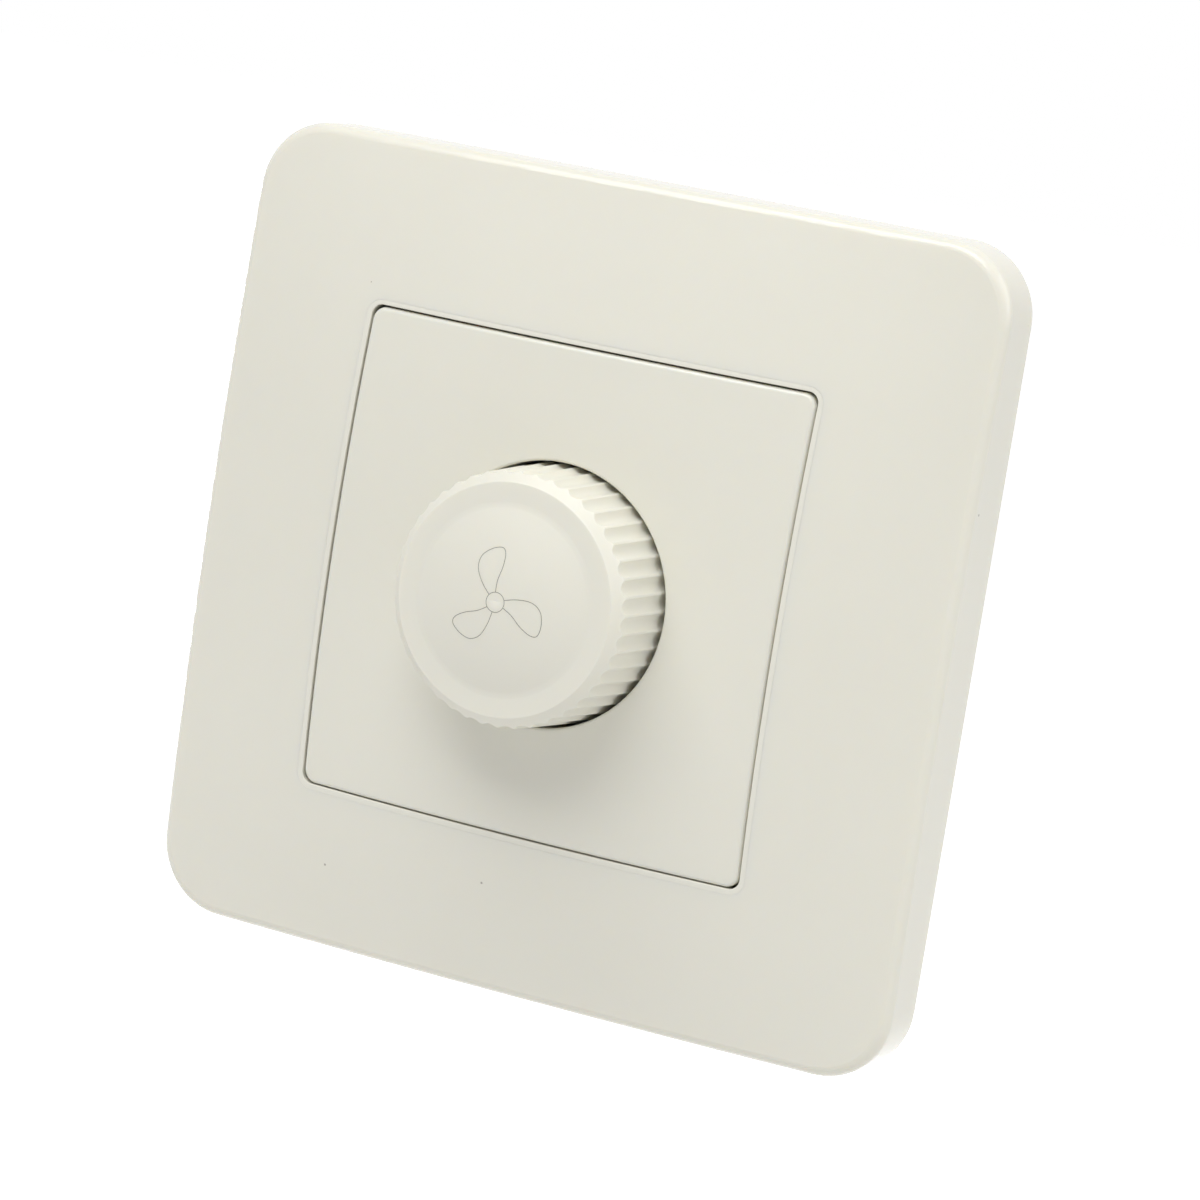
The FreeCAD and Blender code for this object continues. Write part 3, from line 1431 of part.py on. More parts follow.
def write(pieces):
    os.makedirs("parts", exist_ok=True)
    for piece in pieces:
        piece.Shape.exportStep(f"parts/{piece.Label}.step")
        box_size = piece.Shape.BoundBox
        print(
            f"{piece.Label}: {len(piece.Shape.Solids)} solid(s), {piece.Shape.Volume:.1f} mm3,",
            f"{box_size.XLength:.2f} x {box_size.YLength:.2f} x {box_size.ZLength:.2f} mm",
        )


subparts = make_all()
stand_upright(subparts)
check(subparts)
write(subparts)
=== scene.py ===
import math

import bmesh
import bpy
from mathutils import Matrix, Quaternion, Vector
from mathutils.geometry import interpolate_bezier


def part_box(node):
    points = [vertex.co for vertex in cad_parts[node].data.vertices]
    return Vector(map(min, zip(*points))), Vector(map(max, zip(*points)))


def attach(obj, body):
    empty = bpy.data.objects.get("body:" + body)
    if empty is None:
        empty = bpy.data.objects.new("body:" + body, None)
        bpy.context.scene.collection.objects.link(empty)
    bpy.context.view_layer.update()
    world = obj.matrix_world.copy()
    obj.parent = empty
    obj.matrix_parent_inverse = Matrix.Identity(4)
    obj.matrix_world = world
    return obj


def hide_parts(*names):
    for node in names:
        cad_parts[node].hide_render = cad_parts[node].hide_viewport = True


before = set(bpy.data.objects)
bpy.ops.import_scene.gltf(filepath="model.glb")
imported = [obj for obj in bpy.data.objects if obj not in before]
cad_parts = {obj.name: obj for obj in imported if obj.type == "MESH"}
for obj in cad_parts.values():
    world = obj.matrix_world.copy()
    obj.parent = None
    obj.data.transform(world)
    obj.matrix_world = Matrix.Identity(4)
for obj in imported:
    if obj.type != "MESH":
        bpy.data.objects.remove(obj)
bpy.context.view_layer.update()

# Rear housing: the open box behind the plate that goes into the wall.
# Matt off-white moulded plastic with the fine spark-eroded skin of its mould,
# held to the mounting base by four screws into its corner bosses.
HOUSING_WHITE = (0.62, 0.61, 0.56)
EVEN = (1, 1, 1)
NOISE_LOW = 0.3
NOISE_MIDDLE = 0.5
NOISE_HIGH = 0.7


def start_material(name):
    """A new node material and its main shader."""
    material = bpy.data.materials.new(name)
    material.use_nodes = True
    return material, material.node_tree.nodes["Principled BSDF"]


def add_node(shader, kind, **settings):
    """A new node beside a shader."""
    node = shader.id_data.nodes.new("ShaderNode" + kind)
    for setting, value in settings.items():
        setattr(node, setting, value)
    return node


def join(source, target):
    """A link from one socket to another."""
    source.id_data.links.new(source, target)


def grain(shader, per_metre, detail=2.0, stretch=EVEN):
    """Noise with so many features to a metre, drawn out along an axis where stretch is below 1."""
    place = add_node(shader, "TexCoord")
    spread = add_node(shader, "Mapping")
    spread.inputs["Scale"].default_value = [per_metre * part for part in stretch]
    noise = add_node(shader, "TexNoise")
    noise.inputs["Scale"].default_value = 1.0
    noise.inputs["Detail"].default_value = detail
    join(place.outputs["Object"], spread.inputs["Vector"])
    join(spread.outputs["Vector"], noise.inputs["Vector"])
    return noise.outputs["Fac"]


def shades(shader, pattern, stops):
    """A colour ramp on a pattern; stops are pairs of place and colour."""
    ramp = add_node(shader, "ValToRGB")
    marks = ramp.color_ramp.elements
    while len(marks) < len(stops):
        marks.new(NOISE_MIDDLE)
    for mark, (place, colour) in zip(marks, stops):
        mark.position = place
        mark.color = (*colour, 1)
    join(pattern, ramp.inputs["Fac"])
    return ramp.outputs["Color"]


def near(colour, share):
    """A lighter or darker shade of a colour."""
    return tuple(part * share for part in colour)


def drift(shader, colour, pattern, spread):
    """A colour that drifts a little to both sides of a shade."""
    stops = [(NOISE_LOW, near(colour, 1 - spread)), (NOISE_HIGH, near(colour, 1 + spread))]
    return shades(shader, pattern, stops)


def mottle(shader, colour, pattern, spread=0.03):
    """Base colour that drifts a little."""
    join(drift(shader, colour, pattern, spread), shader.inputs["Base Color"])


def vary_gloss(shader, pattern, low, high):
    """Roughness that a pattern takes from low to high."""
    reach = add_node(shader, "MapRange")
    reach.inputs["To Min"].default_value = low
    reach.inputs["To Max"].default_value = high
    join(pattern, reach.inputs["Value"])
    join(reach.outputs["Result"], shader.inputs["Roughness"])


def relief(shader, pattern, depth, under=None):
    """Surface relief of a depth in metres, over another one where given."""
    bump = add_node(shader, "Bump")
    bump.inputs["Distance"].default_value = depth
    join(pattern, bump.inputs["Height"])
    if under:
        join(under, bump.inputs["Normal"])
    join(bump.outputs["Normal"], shader.inputs["Normal"])
    return bump.outputs["Normal"]


def moulded(name, colour, gloss, skin, depth):
    """Moulded plastic: roughness from and to, grains of its skin to a metre, and their depth."""
    material, shader = start_material(name)
    mottle(shader, colour, grain(shader, per_metre=70, detail=3))
    vary_gloss(shader, grain(shader, per_metre=500), *gloss)
    relief(shader, grain(shader, skin, detail=3), depth)
    return material


def dress(node, material):
    """Give a solid of the frame its finish."""
    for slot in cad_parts[node].material_slots:
        slot.material = material


matt_housing = moulded("matt_housing", HOUSING_WHITE, gloss=(0.5, 0.62), skin=3800, depth=0.00003)
dress("rear_housing", matt_housing)

# Terminal block: the white block low in the housing where the mains wires go in.
# A matt nylon body that slides onto the housing's wall, two brass cage clamps
# and a zinc plated screw down each clamp.
NYLON_WHITE = (0.72, 0.72, 0.69)
BRASS = (0.66, 0.45, 0.17)
CLAMP_STREAKS = (1, 0.06, 1)
ZINC = (0.60, 0.61, 0.61)


def metal(name, colour, gloss, streaks, per_metre, depth):
    """Bare or plated metal, streaked the way that it was rolled, drawn or turned."""
    material, shader = start_material(name)
    shader.inputs["Metallic"].default_value = 1.0
    mottle(shader, colour, grain(shader, per_metre=160, detail=4), spread=0.07)
    vary_gloss(shader, grain(shader, per_metre, detail=3, stretch=streaks), *gloss)
    relief(shader, grain(shader, per_metre, detail=2, stretch=streaks), depth)
    return material


nylon = moulded("white_nylon", NYLON_WHITE, gloss=(0.42, 0.55), skin=3000, depth=0.00002)
clamp_brass = metal(
    "clamp_brass", BRASS, gloss=(0.22, 0.38), streaks=CLAMP_STREAKS, per_metre=2400, depth=0.000004
)
zinc = metal("zinc_plate", ZINC, gloss=(0.28, 0.44), streaks=EVEN, per_metre=900, depth=0.000006)
dress("terminal_block", nylon)
dress("terminal_clamps", clamp_brass)
dress("terminal_screws", zinc)

# Circuit board: a single-sided board on four shelves in the housing.
# Tan paper laminate with long pressed fibres, its edges sawn,
# held down by the parts that stand against the mounting base.
LAMINATE_DARK = (0.30, 0.17, 0.06)
LAMINATE_TAN = (0.40, 0.25, 0.10)
FIBRE_STRETCH = (0.12, 1, 1)
FIBRE_LOW = 0.32
FIBRE_HIGH = 0.68
laminate, shader = start_material("paper_laminate")
fibres = grain(shader, per_metre=900, detail=5, stretch=FIBRE_STRETCH)
fibre_shades = shades(shader, fibres, [(FIBRE_LOW, LAMINATE_DARK), (FIBRE_HIGH, LAMINATE_TAN)])
join(fibre_shades, shader.inputs["Base Color"])
vary_gloss(shader, grain(shader, per_metre=300, detail=3), low=0.42, high=0.6)
relief(shader, fibres, depth=0.00002)
dress("circuit_board", laminate)

# Triac and heat sink: the power switch of the regulator, screwed to a bent aluminium fin plate.
# The triac is black epoxy, moulded matt round a tinned lead frame;
# the plate is mill-finish sheet with the streaks of its rolling.
EPOXY_BLACK = (0.016, 0.016, 0.017)
ALUMINIUM = (0.72, 0.73, 0.74)
ROLLING_STREAKS = (1, 1, 0.04)
black_epoxy = moulded("black_epoxy", EPOXY_BLACK, gloss=(0.5, 0.68), skin=5200, depth=0.00003)
rolled_aluminium = metal(
    "rolled_aluminium", ALUMINIUM, gloss=(0.26, 0.46), streaks=ROLLING_STREAKS, per_metre=3000, depth=0.000008
)
dress("triac", black_epoxy)
dress("heat_sink", rolled_aluminium)
dress("triac_screw", zinc)

# Choke: a ferrite ring wound with enamelled copper wire, which keeps noise out of the mains.
# The turns lie side by side round most of the ring, tight against its edges,
# and the wound ring lies flat on the board.
FERRITE_GREY = (0.022, 0.022, 0.025)
ENAMELLED_COPPER = (0.58, 0.19, 0.07)
WIRE_RADIUS = 0.00034
WIRE_LIFT = 0.00035
WIRE_ROUNDING = 2
EDGE_BEND = 0.0005
WINDING_TURN = math.radians(300)
TURN_COUNT = 21
STEPS_A_TURN = 24
CORE_INNER = 0.0034
core_low, core_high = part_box("choke_core")
core_middle = (core_low + core_high) / 2
core_outer = (core_high.x - core_low.x) / 2


def rounded_loop(half_width, half_height, bend, share):
    """A point on a rectangle with round corners, at a share of the way round it."""
    straight = [2 * (half_height - bend), 2 * (half_width - bend)] * 2
    arc = bend * math.pi / 2
    at = share % 1 * (sum(straight) + 4 * arc)
    x, y, heading = half_width, bend - half_height, math.pi / 2
    for run in straight:
        step = min(at, run)
        x += math.cos(heading) * step
        y += math.sin(heading) * step
        at -= step
        turn = min(at, arc) / bend
        x += bend * (math.sin(heading + turn) - math.sin(heading))
        y -= bend * (math.cos(heading + turn) - math.cos(heading))
        heading += turn
        at -= min(at, arc)
        if at <= 0:
            break
    return x, y


def winding_point(share):
    """A point on the wire, at a share of the way from one end of the winding to the other."""
    half_width = (core_outer - CORE_INNER) / 2 + WIRE_LIFT
    half_height = (core_high.y - core_low.y) / 2 + WIRE_LIFT
    out, along = rounded_loop(half_width, half_height, EDGE_BEND, share * TURN_COUNT)
    radius = (core_outer + CORE_INNER) / 2 + out
    margin = WIRE_RADIUS / CORE_INNER
    angle = margin + share * (WINDING_TURN - 2 * margin)
    return core_middle + Vector((radius * math.cos(angle), along, radius * math.sin(angle)))


def add_object(name, data):
    """A new object in the scene."""
    thing = bpy.data.objects.new(name, data)
    bpy.context.scene.collection.objects.link(thing)
    return thing


def draw_wire(name, place_at, steps, radius):
    """A round wire along the places that a function gives for shares from 0 to 1."""
    data = bpy.data.curves.new(name, "CURVE")
    data.dimensions = "3D"
    data.bevel_depth = radius
    data.bevel_resolution = WIRE_ROUNDING
    data.use_fill_caps = True
    line = data.splines.new("POLY")
    line.points.add(steps)
    for step, point in enumerate(line.points):
        point.co = (*place_at(step / steps), 1)
    return add_object(name, data)


choke_turns = draw_wire("choke_turns", winding_point, TURN_COUNT * STEPS_A_TURN, WIRE_RADIUS)
enamel, shader = start_material("enamelled_copper")
shader.inputs["Metallic"].default_value = 0.85
shader.inputs["Coat Weight"].default_value = 0.6
mottle(shader, ENAMELLED_COPPER, grain(shader, per_metre=500, detail=3), spread=0.12)
vary_gloss(shader, grain(shader, per_metre=1500), low=0.2, high=0.36)
choke_turns.data.materials.append(enamel)
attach(choke_turns, "switch_body")
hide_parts("choke_winding")
ferrite = moulded("sintered_ferrite", FERRITE_GREY, gloss=(0.55, 0.8), skin=4200, depth=0.00004)
dress("choke_core", ferrite)

# Capacitors: a film capacitor in a yellow moulded box and a small green dipped one.
# The box is smooth and glossy; the dip has the soft runs of resin that set as it hung.
# Both stand on the board on wire legs.
BOX_YELLOW = (0.68, 0.42, 0.05)
DIP_GREEN = (0.03, 0.17, 0.06)
DIP_RUNS = (1, 0.4, 1)
yellow_box = moulded("yellow_box", BOX_YELLOW, gloss=(0.26, 0.36), skin=2600, depth=0.000008)
dress("film_capacitor", yellow_box)
green_dip, shader = start_material("green_dip")
shader.inputs["Coat Weight"].default_value = 0.5
mottle(shader, DIP_GREEN, grain(shader, per_metre=300, detail=3), spread=0.15)
vary_gloss(shader, grain(shader, per_metre=700), low=0.16, high=0.3)
relief(shader, grain(shader, per_metre=420, detail=1, stretch=DIP_RUNS), depth=0.00012)
dress("timing_capacitor", green_dip)

# Fuse: a glass tube with tinned caps, pushed into two spring clips on the board.
# The glass is clear with faint drawing lines, and a thin fuse wire hangs in it
# from cap to cap.
TIN = (0.66, 0.64, 0.60)
GLASS_TINT = (0.93, 0.97, 0.95)
GLASS_LINES = (1, 1, 0.05)
FUSE_WIRE_RADIUS = 0.00009
FUSE_WIRE_SAG = 0.0003
FUSE_WIRE_STEPS = 24
glass, shader = start_material("clear_glass")
shader.inputs["Transmission Weight"].default_value = 1.0
shader.inputs["IOR"].default_value = 1.5
mottle(shader, GLASS_TINT, grain(shader, per_metre=200), spread=0.02)
vary_gloss(shader, grain(shader, per_metre=900, stretch=GLASS_LINES), low=0.01, high=0.06)
dress("fuse_tube", glass)
tinned = metal("tinned_brass", TIN, gloss=(0.28, 0.48), streaks=EVEN, per_metre=700, depth=0.000008)
dress("fuse_caps", tinned)
dress("fuse_clips", tinned)
tube_low, tube_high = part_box("fuse_tube")
tube_middle = (tube_low + tube_high) / 2


def fuse_wire_point(share):
    """A point on the fuse wire, at a share of the way up the tube."""
    sag = FUSE_WIRE_SAG * math.sin(math.pi * share)
    return Vector((tube_middle.x, tube_middle.y + sag, tube_low.z + share * (tube_high.z - tube_low.z)))


fuse_wire = draw_wire("fuse_wire", fuse_wire_point, FUSE_WIRE_STEPS, FUSE_WIRE_RADIUS)
fuse_wire.data.materials.append(tinned)
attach(fuse_wire, "switch_body")

# Resistors and diac: small round parts that lie on the board on their bent wire leads.
# The resistors are lacquered tan with painted colour rings, the diac is blue glass
# with one ring; the tinned wires are as bright as they left the reel.
LACQUER_TAN = (0.52, 0.36, 0.18)
RESISTOR_HALF = 0.0032
RESISTOR_RINGS = (
    (-0.0021, (0.30, 0.03, 0.02)), (-0.0010, (0.02, 0.02, 0.02)),
    (0.0001, (0.55, 0.32, 0.02)), (0.0019, (0.50, 0.36, 0.12)),
)
RING_HALF = 0.00028
PAINT_EDGE = 0.004
DIAC_BLUE = (0.05, 0.10, 0.24)
DIAC_HALF = 0.002
DIAC_RINGS = ((0.0011, (0.01, 0.01, 0.01)),)


def ringed(name, half, colour, rings):
    """Lacquer with painted rings between two tinned wire ends, laid out along x."""
    material, shader = start_material(name)
    place = add_node(shader, "TexCoord")
    apart = add_node(shader, "SeparateXYZ")
    along = add_node(shader, "MapRange")
    along.inputs["From Min"].default_value = -half
    along.inputs["From Max"].default_value = half
    join(place.outputs["Object"], apart.inputs["Vector"])
    join(apart.outputs["X"], along.inputs["Value"])
    stops = [(0, TIN), (PAINT_EDGE, colour)]
    for middle, paint in rings:
        low, high = ((middle + side * RING_HALF + half) / (2 * half) for side in (-1, 1))
        stops += [(low - PAINT_EDGE, colour), (low, paint), (high, paint), (high + PAINT_EDGE, colour)]
    stops += [(1 - PAINT_EDGE, colour), (1, TIN)]
    join(shades(shader, along.outputs["Result"], stops), shader.inputs["Base Color"])
    shader.inputs["Coat Weight"].default_value = 0.4
    vary_gloss(shader, grain(shader, per_metre=900), low=0.25, high=0.4)
    relief(shader, grain(shader, per_metre=1200), depth=0.00002)
    return material


dress("resistors", ringed("ringed_lacquer", RESISTOR_HALF, LACQUER_TAN, RESISTOR_RINGS))
dress("diac", ringed("ringed_glass", DIAC_HALF, DIAC_BLUE, DIAC_RINGS))

# Potentiometer: the turning resistor behind the knob, with a mains switch on its back.
# A zinc plated can crimped over a brown laminate track, a die-cast bushing with washer and nut,
# a turned aluminium shaft, and black moulded rotor and switch case with tinned pins.
DIE_CAST = (0.52, 0.52, 0.51)
TRACK_BROWN = (0.13, 0.055, 0.022)
TRACK_CARBON = (0.012, 0.012, 0.012)
CARBON_INNER = 0.0049
CARBON_OUTER = 0.0069
CARBON_EDGE = 0.01
IN_PLANE = (1, 0, 1)
DRAWING_STREAKS = (1, 0.08, 1)
TURNING_STREAKS = (0.02, 1, 0.02)
carbon_track, shader = start_material("carbon_track")
place = add_node(shader, "TexCoord")
flat = add_node(shader, "VectorMath", operation="MULTIPLY")
flat.inputs[1].default_value = IN_PLANE
away = add_node(shader, "VectorMath", operation="LENGTH")
across = add_node(shader, "MapRange")
track_span = 2 * CARBON_OUTER
across.inputs["From Max"].default_value = track_span
join(place.outputs["Object"], flat.inputs[0])
join(flat.outputs["Vector"], away.inputs[0])
join(away.outputs["Value"], across.inputs["Value"])
carbon_low, carbon_high = CARBON_INNER / track_span, CARBON_OUTER / track_span
carbon_stops = [
    (carbon_low - CARBON_EDGE, TRACK_BROWN), (carbon_low, TRACK_CARBON),
    (carbon_high, TRACK_CARBON), (carbon_high + CARBON_EDGE, TRACK_BROWN),
]
join(shades(shader, across.outputs["Result"], carbon_stops), shader.inputs["Base Color"])
vary_gloss(shader, grain(shader, per_metre=600, detail=3), low=0.45, high=0.62)
relief(shader, grain(shader, per_metre=2500, detail=3), depth=0.00001)
moulded_black = moulded("black_moulding", EPOXY_BLACK, gloss=(0.42, 0.58), skin=4400, depth=0.00002)
can_zinc = metal(
    "can_zinc", ZINC, gloss=(0.22, 0.40), streaks=DRAWING_STREAKS, per_metre=1800, depth=0.000006
)
die_cast = metal(
    "bushing_die_cast", DIE_CAST, gloss=(0.36, 0.54), streaks=EVEN, per_metre=1500, depth=0.00002
)
turned_aluminium = metal(
    "turned_aluminium", ALUMINIUM, gloss=(0.22, 0.38), streaks=TURNING_STREAKS, per_metre=5000, depth=0.000006
)
dress("resistance_track", carbon_track)
dress("pot_can", can_zinc)
dress("pot_terminals", tinned)
dress("switch_case", moulded_black)
dress("switch_pins", tinned)
dress("wiper_rotor", moulded_black)
dress("pot_bushing", die_cast)
dress("lock_washer", zinc)
dress("pot_nut", zinc)
dress("pot_shaft", turned_aluminium)

# Mounting base: the plate on the wall that carries everything, with the two screw slots.
# Matt off-white moulded plastic; the housing hangs on it by four pan-head screws
# and the face frame and panel snap onto it.
BASE_WHITE = (0.66, 0.65, 0.60)
dress("mounting_base", moulded("matt_base", BASE_WHITE, gloss=(0.46, 0.58), skin=3400, depth=0.000025))
dress("housing_screws", zinc)

# Face frame: the domed square plate that is seen on the wall, open in the middle.
# Glossy ivory moulded plastic, a little translucent, polished in the mould,
# with faint flow waves and a few specks of dust; it snaps on with four hooks.
IVORY = (0.76, 0.745, 0.66)
DUST_GREY = (0.42, 0.40, 0.35)
SPECK_CELLS = 230
SPECK_RADIUS = 0.03
CLEAN_SHARE = 0.6
SHEER = 0.3
SKIN_REACH = 0.002
SKIN_SPREAD = (1.0, 0.8, 0.5)
FRAME_GLOSS = (0.16, 0.26)
FRAME_WAVES = (1, 0.5, 0.35)


def ivory_plastic(name, gloss, waves, sheer=SHEER, clean=CLEAN_SHARE):
    """Polished ivory plastic: slow drift of shade and gloss, flow waves, and dust in a few places.

    sheer is the share of the light that spreads inside it, and clean the share of places without dust.
    """
    material, shader = start_material(name)
    shader.inputs["Subsurface Weight"].default_value = sheer
    shader.inputs["Subsurface Radius"].default_value = SKIN_SPREAD
    shader.inputs["Subsurface Scale"].default_value = SKIN_REACH
    place = add_node(shader, "TexCoord")
    cells = add_node(shader, "TexVoronoi")
    cells.inputs["Scale"].default_value = SPECK_CELLS
    close = add_node(shader, "Math", operation="LESS_THAN")
    close.inputs[1].default_value = SPECK_RADIUS
    chosen = add_node(shader, "Math", operation="GREATER_THAN")
    chosen.inputs[1].default_value = clean
    both = add_node(shader, "Math", operation="MULTIPLY")
    dusted = add_node(shader, "MixRGB")
    dusted.inputs["Color2"].default_value = (*DUST_GREY, 1)
    join(place.outputs["Object"], cells.inputs["Vector"])
    join(cells.outputs["Distance"], close.inputs[0])
    join(cells.outputs["Color"], chosen.inputs[0])
    join(close.outputs["Value"], both.inputs[0])
    join(chosen.outputs["Value"], both.inputs[1])
    join(both.outputs["Value"], dusted.inputs["Fac"])
    join(drift(shader, IVORY, grain(shader, per_metre=28, detail=3), spread=0.015), dusted.inputs["Color1"])
    join(dusted.outputs["Color"], shader.inputs["Base Color"])
    vary_gloss(shader, grain(shader, per_metre=120, detail=3), *gloss)
    flow = relief(shader, grain(shader, per_metre=60, detail=1, stretch=waves), depth=0.00006)
    relief(shader, grain(shader, per_metre=5000), depth=0.0000012, under=flow)
    return material


dress("face_frame", ivory_plastic("ivory_frame", FRAME_GLOSS, FRAME_WAVES))

# Opening lip: the edge of the frame's opening, which lies closer to the panel than the solid does.
# The same ivory plastic as the frame and one piece with it; it follows the frame's dome
# and leaves a fine line round the panel, widest at the top because the panel sits low.
PLATE_HALF = 0.043
CROWN_CENTRE = 0.0132
CROWN_EDGE = 0.0076
CROWN_CORNER = 0.0062
OPENING_HALF = 0.02595
OPENING_CORNER = 0.0015
OPENING_SIDES = 4
LIP_REACH = 0.0003
LIP_SHIFT = Vector((0.00002, 0.00005))
LIP_ROOT = 0.0003
LIP_ROUND = 0.0001
LIP_DROP = 0.000015
LIP_DEPTH = 0.0012
RUN_STEPS = 16
BEND_STEPS = 12


def on_crown(flat, depth):
    """A point over the wall, at a depth under the frame's dome."""
    across, up = (flat.x / PLATE_HALF) ** 2, (flat.y / PLATE_HALF) ** 2
    fall, twist = CROWN_CENTRE - CROWN_EDGE, CROWN_CENTRE - 2 * CROWN_EDGE + CROWN_CORNER
    crown = CROWN_CENTRE - fall * (across + up) + twist * across * up
    return Vector((flat.x, depth - crown, flat.y))


def opening_edge():
    """Points round the opening, each with the direction away from the panel."""
    straight = OPENING_HALF - OPENING_CORNER
    for side in range(OPENING_SIDES):
        turn = side * math.pi / 2
        out = Vector((math.cos(turn), math.sin(turn)))
        along = Vector((-out.y, out.x))
        for step in range(-RUN_STEPS, RUN_STEPS):
            yield OPENING_HALF * out + straight * step / RUN_STEPS * along, out
        for step in range(BEND_STEPS):
            swing = turn + math.pi / 2 * step / BEND_STEPS
            lean = Vector((math.cos(swing), math.sin(swing)))
            yield straight * (out + along) + OPENING_CORNER * lean, lean


def lip_section(out):
    """The lip's outline on one side: pairs of offset from the opening and depth under the dome."""
    reach = LIP_REACH - out.dot(LIP_SHIFT)
    bevel = LIP_ROUND / 3
    return (
        (LIP_ROOT, LIP_DEPTH), (LIP_ROOT, 2 * LIP_DROP), (LIP_ROOT / 2, LIP_DROP),
        (LIP_ROUND - reach, LIP_DROP), (bevel - reach, LIP_DROP + bevel),
        (-reach, LIP_DROP + LIP_ROUND), (-reach, LIP_DEPTH),
    )


def mesh_object(name, mesh, material):
    """A new object of a drawn mesh, with its faces turned outwards."""
    bmesh.ops.recalc_face_normals(mesh, faces=mesh.faces)
    data = bpy.data.meshes.new(name)
    mesh.to_mesh(data)
    mesh.free()
    data.materials.append(material)
    return add_object(name, data)


lip_mesh = bmesh.new()
lip_rows = [
    [lip_mesh.verts.new(on_crown(place + out * offset, depth)) for offset, depth in lip_section(out)]
    for place, out in opening_edge()
]
for row, before in zip(lip_rows, lip_rows[-1:] + lip_rows[:-1]):
    for corner in range(len(row)):
        lip_mesh.faces.new((before[corner - 1], before[corner], row[corner], row[corner - 1]))
ivory_lip = ivory_plastic("ivory_lip", FRAME_GLOSS, FRAME_WAVES, sheer=0)
opening_lip = mesh_object("opening_lip", lip_mesh, ivory_lip)
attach(opening_lip, "switch_body")

# Centre panel: the domed inner square with the round hole for the knob.
# The same ivory plastic, moulded in one piece with its sleeve and four legs
# that catch behind the mounting base.
PANEL_WAVES = (0.5, 0.5, 1)
dress("centre_panel", ivory_plastic("ivory_panel", gloss=(0.17, 0.26), waves=PANEL_WAVES))

# Knob: the fluted cap that the hand turns, pushed onto the shaft over a leaf spring.
# Ivory plastic with a softer gloss and less dust, because fingers rub it; the spring is
# bright rolled steel and grips the flat of the shaft in the knob's boss.
SPRING_STEEL = (0.46, 0.47, 0.49)
SPRING_STREAKS = (1, 0.05, 1)
rolled_spring = metal(
    "rolled_spring", SPRING_STEEL, gloss=(0.18, 0.32), streaks=SPRING_STREAKS, per_metre=2600, depth=0.000004
)
dress("knob", ivory_plastic("ivory_knob", gloss=(0.29, 0.38), waves=EVEN, clean=0.9))
dress("knob_spring", rolled_spring)

# Fan drawing: the plain outline of a fan on the knob's raised centre.
# A thin grey line pad-printed on the plastic: a round hub and three rounded blades,
# a film of ink that follows the dome.
INK_GREY = (0.20, 0.20, 0.18)
INK_HALF = 0.00004
INK_EDGE = 0.000015
INK_FILM = 0.000012
INK_ROOT = 0.00003
HUB_MIDDLE = Vector((-0.00004, -0.0001))
HUB_RADIUS = 0.00102
HUB_STEPS = 72
BLADE_COUNT = 3
BLADE_OUTLINE = (
    (-0.00080, 0.00064), (-0.00180, 0.00168), (-0.00256, 0.00300), (-0.00246, 0.00425),
    (-0.00150, 0.00516), (-0.00036, 0.00553), (0.00014, 0.00500), (0.00017, 0.00370),
    (-0.00013, 0.00222), (-0.00013, 0.00101),
)
CURVE_STEPS = 12
CURVE_PULL = 6
DOME_RISE = 0.00172
DOME_EDGE = 0.00967
DOME_RADIUS = (DOME_EDGE ** 2 + DOME_RISE ** 2) / (2 * DOME_RISE)
dome_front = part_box("knob")[0].y


def on_dome(flat, lift):
    """A point of the flat drawing laid on the dome, at a lift over its surface."""
    reach = DOME_RADIUS + lift
    depth = math.sqrt(reach ** 2 - flat.length_squared)
    return Vector((flat.x, dome_front + DOME_RADIUS - depth, flat.y))


def smooth_line(points):
    """A smooth line through points, open at both ends."""
    held = [points[0], *points, points[-1]]
    line = [points[0]]
    for before, start, end, after in zip(held, held[1:], held[2:], held[3:]):
        pull_start = start + (end - before) / CURVE_PULL
        pull_end = end - (after - start) / CURVE_PULL
        line += interpolate_bezier(start, pull_start, pull_end, end, CURVE_STEPS)[1:]
    return line


def print_line(mesh, line, closed):
    """A closed film of ink along a line: flat on top, with sloped edges that go into the plastic."""
    flat_half = INK_HALF - INK_EDGE
    section = (
        (-INK_HALF, -INK_ROOT), (-flat_half, INK_FILM),
        (flat_half, INK_FILM), (INK_HALF, -INK_ROOT),
    )
    rows = []
    last = len(line) - 1
    for index, point in enumerate(line):
        before = line[index - 1] if index or closed else point
        after = line[(index + 1) % len(line)] if index < last or closed else point
        along = (after - before).normalized()
        side = Vector((-along.y, along.x))
        rows.append([mesh.verts.new(on_dome(point + side * offset, lift)) for offset, lift in section])
    pairs = list(zip(rows, rows[1:]))
    if closed:
        pairs.append((rows[-1], rows[0]))
    else:
        mesh.faces.new(rows[0])
        mesh.faces.new(rows[-1])
    for row, following in pairs:
        for corner in range(len(section)):
            mesh.faces.new((row[corner - 1], row[corner], following[corner], following[corner - 1]))


fan_mesh = bmesh.new()
hub_turns = [2 * math.pi * step / HUB_STEPS for step in range(HUB_STEPS)]
hub = [HUB_MIDDLE + HUB_RADIUS * Vector((math.cos(turn), math.sin(turn))) for turn in hub_turns]
print_line(fan_mesh, hub, closed=True)
for blade in range(BLADE_COUNT):
    turn = 2 * math.pi * blade / BLADE_COUNT
    ahead = Vector((math.cos(turn), math.sin(turn)))
    aside = Vector((-ahead.y, ahead.x))
    outline = [HUB_MIDDLE + x * ahead + z * aside for x, z in BLADE_OUTLINE]
    print_line(fan_mesh, smooth_line(outline), closed=False)
ink, shader = start_material("grey_ink")
mottle(shader, INK_GREY, grain(shader, per_metre=4000), spread=0.12)
vary_gloss(shader, grain(shader, per_metre=900), low=0.45, high=0.6)
fan_drawing = mesh_object("fan_drawing", fan_mesh, ink)
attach(fan_drawing, "knob_rotor")

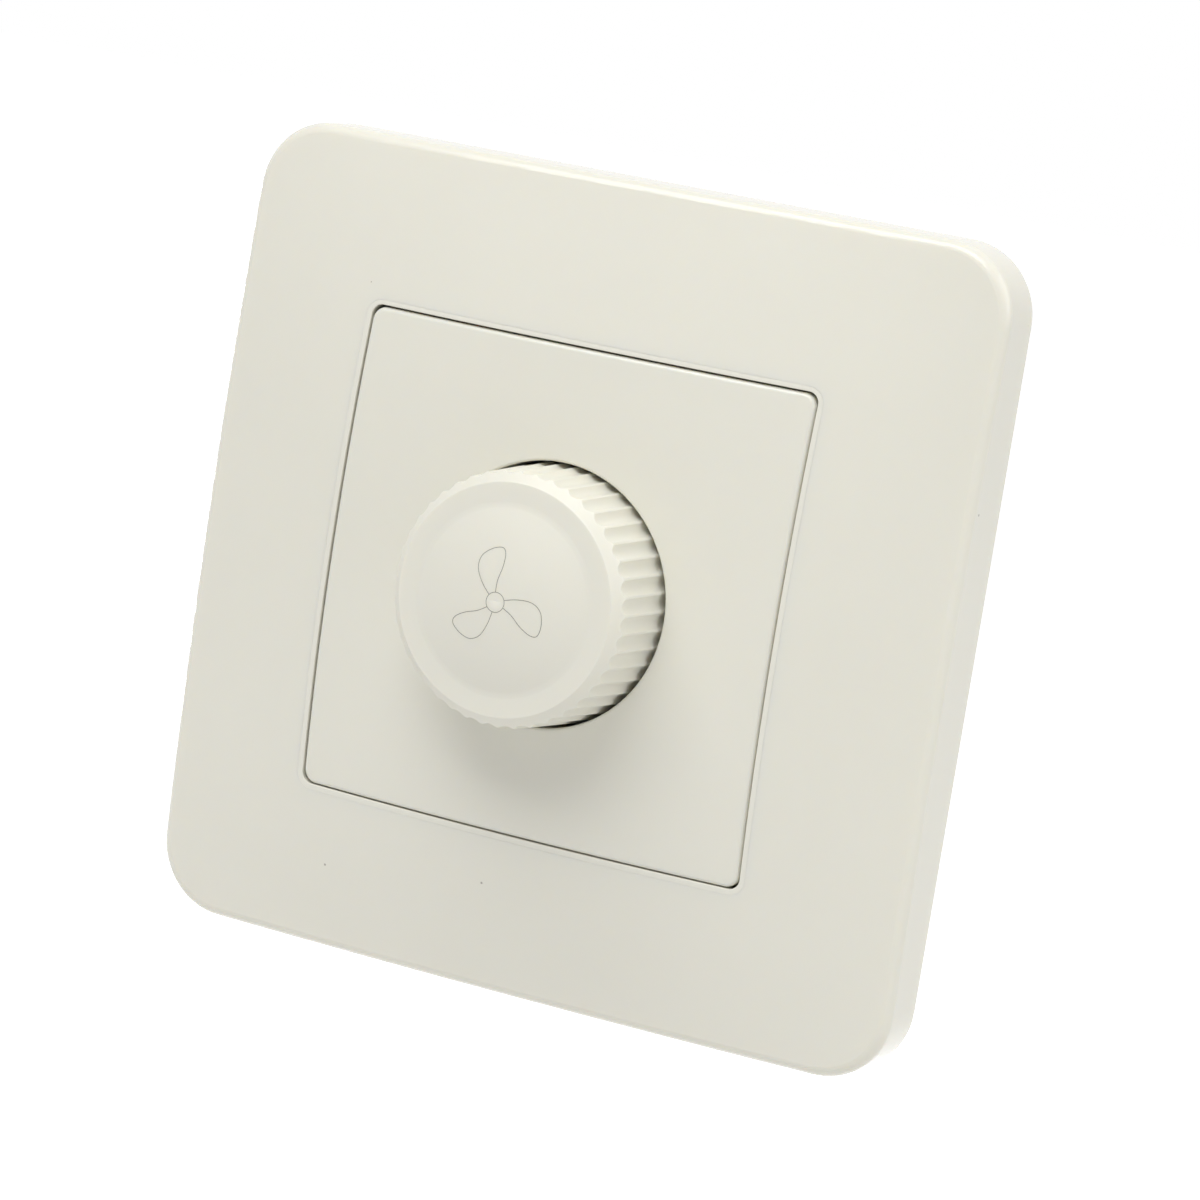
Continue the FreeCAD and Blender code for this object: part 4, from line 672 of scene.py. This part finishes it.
# Studio: a pale floor well below the plate and white all round, with three soft lamps:
# one overhead, a weak one at the right and one for the back. The white is what the camera
# and the reflections see; the light on the plate is lower, so that the ivory keeps its colour.
WHITE = (1, 1, 1, 1)
FLOOR_LEVEL = -0.30
FLOOR_SPAN = 12
FLOOR_PALE = (0.86, 0.86, 0.86, 1)
FLOOR_ROUGHNESS = 0.9
FLOOR_GLOW = 0.65
WORLD_LIGHT = 0.39
OVERHEAD_PLACE = Vector((-0.15, -0.75, 1.15))
OVERHEAD_POWER = 14.9
OVERHEAD_SIZE = (1.2, 0.8)
FILL_PLACE = Vector((0.85, 0.05, 0.48))
FILL_POWER = 3.7
FILL_SIZE = (0.8, 0.8)
BACK_PLACE = Vector((-0.5, 0.9, -0.12))
BACK_POWER = 4.0
BACK_SIZE = (0.6, 0.2)


def seen_rays(tree):
    """1 for rays from the camera, or by way of a reflection or through glass, and otherwise 0."""
    path = tree.nodes.new("ShaderNodeLightPath")
    seen = path.outputs["Is Camera Ray"]
    for ray in ("Is Glossy Ray", "Is Transmission Ray"):
        either = tree.nodes.new("ShaderNodeMath")
        either.operation = "MAXIMUM"
        join(seen, either.inputs[0])
        join(path.outputs[ray], either.inputs[1])
        seen = either.outputs["Value"]
    return seen


bpy.ops.mesh.primitive_plane_add(size=FLOOR_SPAN, location=(0, 0, FLOOR_LEVEL))
floor = bpy.context.object
floor.name = "floor"
pale, shader = start_material("pale_floor")
shader.inputs["Base Color"].default_value = FLOOR_PALE
shader.inputs["Roughness"].default_value = FLOOR_ROUGHNESS
shader.inputs["Emission Color"].default_value = WHITE
glow = add_node(shader, "MapRange")
glow.inputs["To Max"].default_value = FLOOR_GLOW
join(seen_rays(pale.node_tree), glow.inputs["Value"])
join(glow.outputs["Result"], shader.inputs["Emission Strength"])
floor.data.materials.append(pale)

world = bpy.data.worlds.new("white_studio")
bpy.context.scene.world = world
world.use_nodes = True
surround = world.node_tree.nodes["Background"]
surround.inputs["Color"].default_value = WHITE
level = world.node_tree.nodes.new("ShaderNodeMapRange")
level.inputs["To Min"].default_value = WORLD_LIGHT
join(seen_rays(world.node_tree), level.inputs["Value"])
join(level.outputs["Result"], surround.inputs["Strength"])


def add_softbox(name, place, power, sides):
    """A flat soft lamp that faces the plate."""
    light = bpy.data.lights.new(name, "AREA")
    light.shape = "RECTANGLE"
    light.size, light.size_y = sides
    light.energy = power
    lamp = add_object(name, light)
    lamp.location = place
    lamp.rotation_euler = (-place).to_track_quat("-Z", "Y").to_euler()


add_softbox("overhead", OVERHEAD_PLACE, OVERHEAD_POWER, OVERHEAD_SIZE)
add_softbox("right_fill", FILL_PLACE, FILL_POWER, FILL_SIZE)
add_softbox("back_fill", BACK_PLACE, BACK_POWER, BACK_SIZE)

# Camera: to the right of the plate and a little above it, turned as the photograph is.
# Its place, turn and focal length were found from the plate's outline and opening.
CAMERA_PLACE = Vector((0.21118, -0.45620, 0.07201))
CAMERA_AIM = Vector((0.00456, -0.008, 0.00013))
CAMERA_ROLL = math.radians(9.06)
PHOTO_WIDTH = 1200
FOCAL_PIXELS = 4857
view = bpy.data.cameras.new("camera")
view.lens = FOCAL_PIXELS / PHOTO_WIDTH * view.sensor_width
camera = add_object("camera", view)
camera.location = CAMERA_PLACE
camera.rotation_mode = "QUATERNION"
level_turn = (CAMERA_AIM - CAMERA_PLACE).to_track_quat("-Z", "Y")
camera.rotation_quaternion = level_turn @ Quaternion((0, 0, 1), CAMERA_ROLL)
bpy.context.scene.camera = camera
bpy.context.scene.view_settings.view_transform = "Standard"
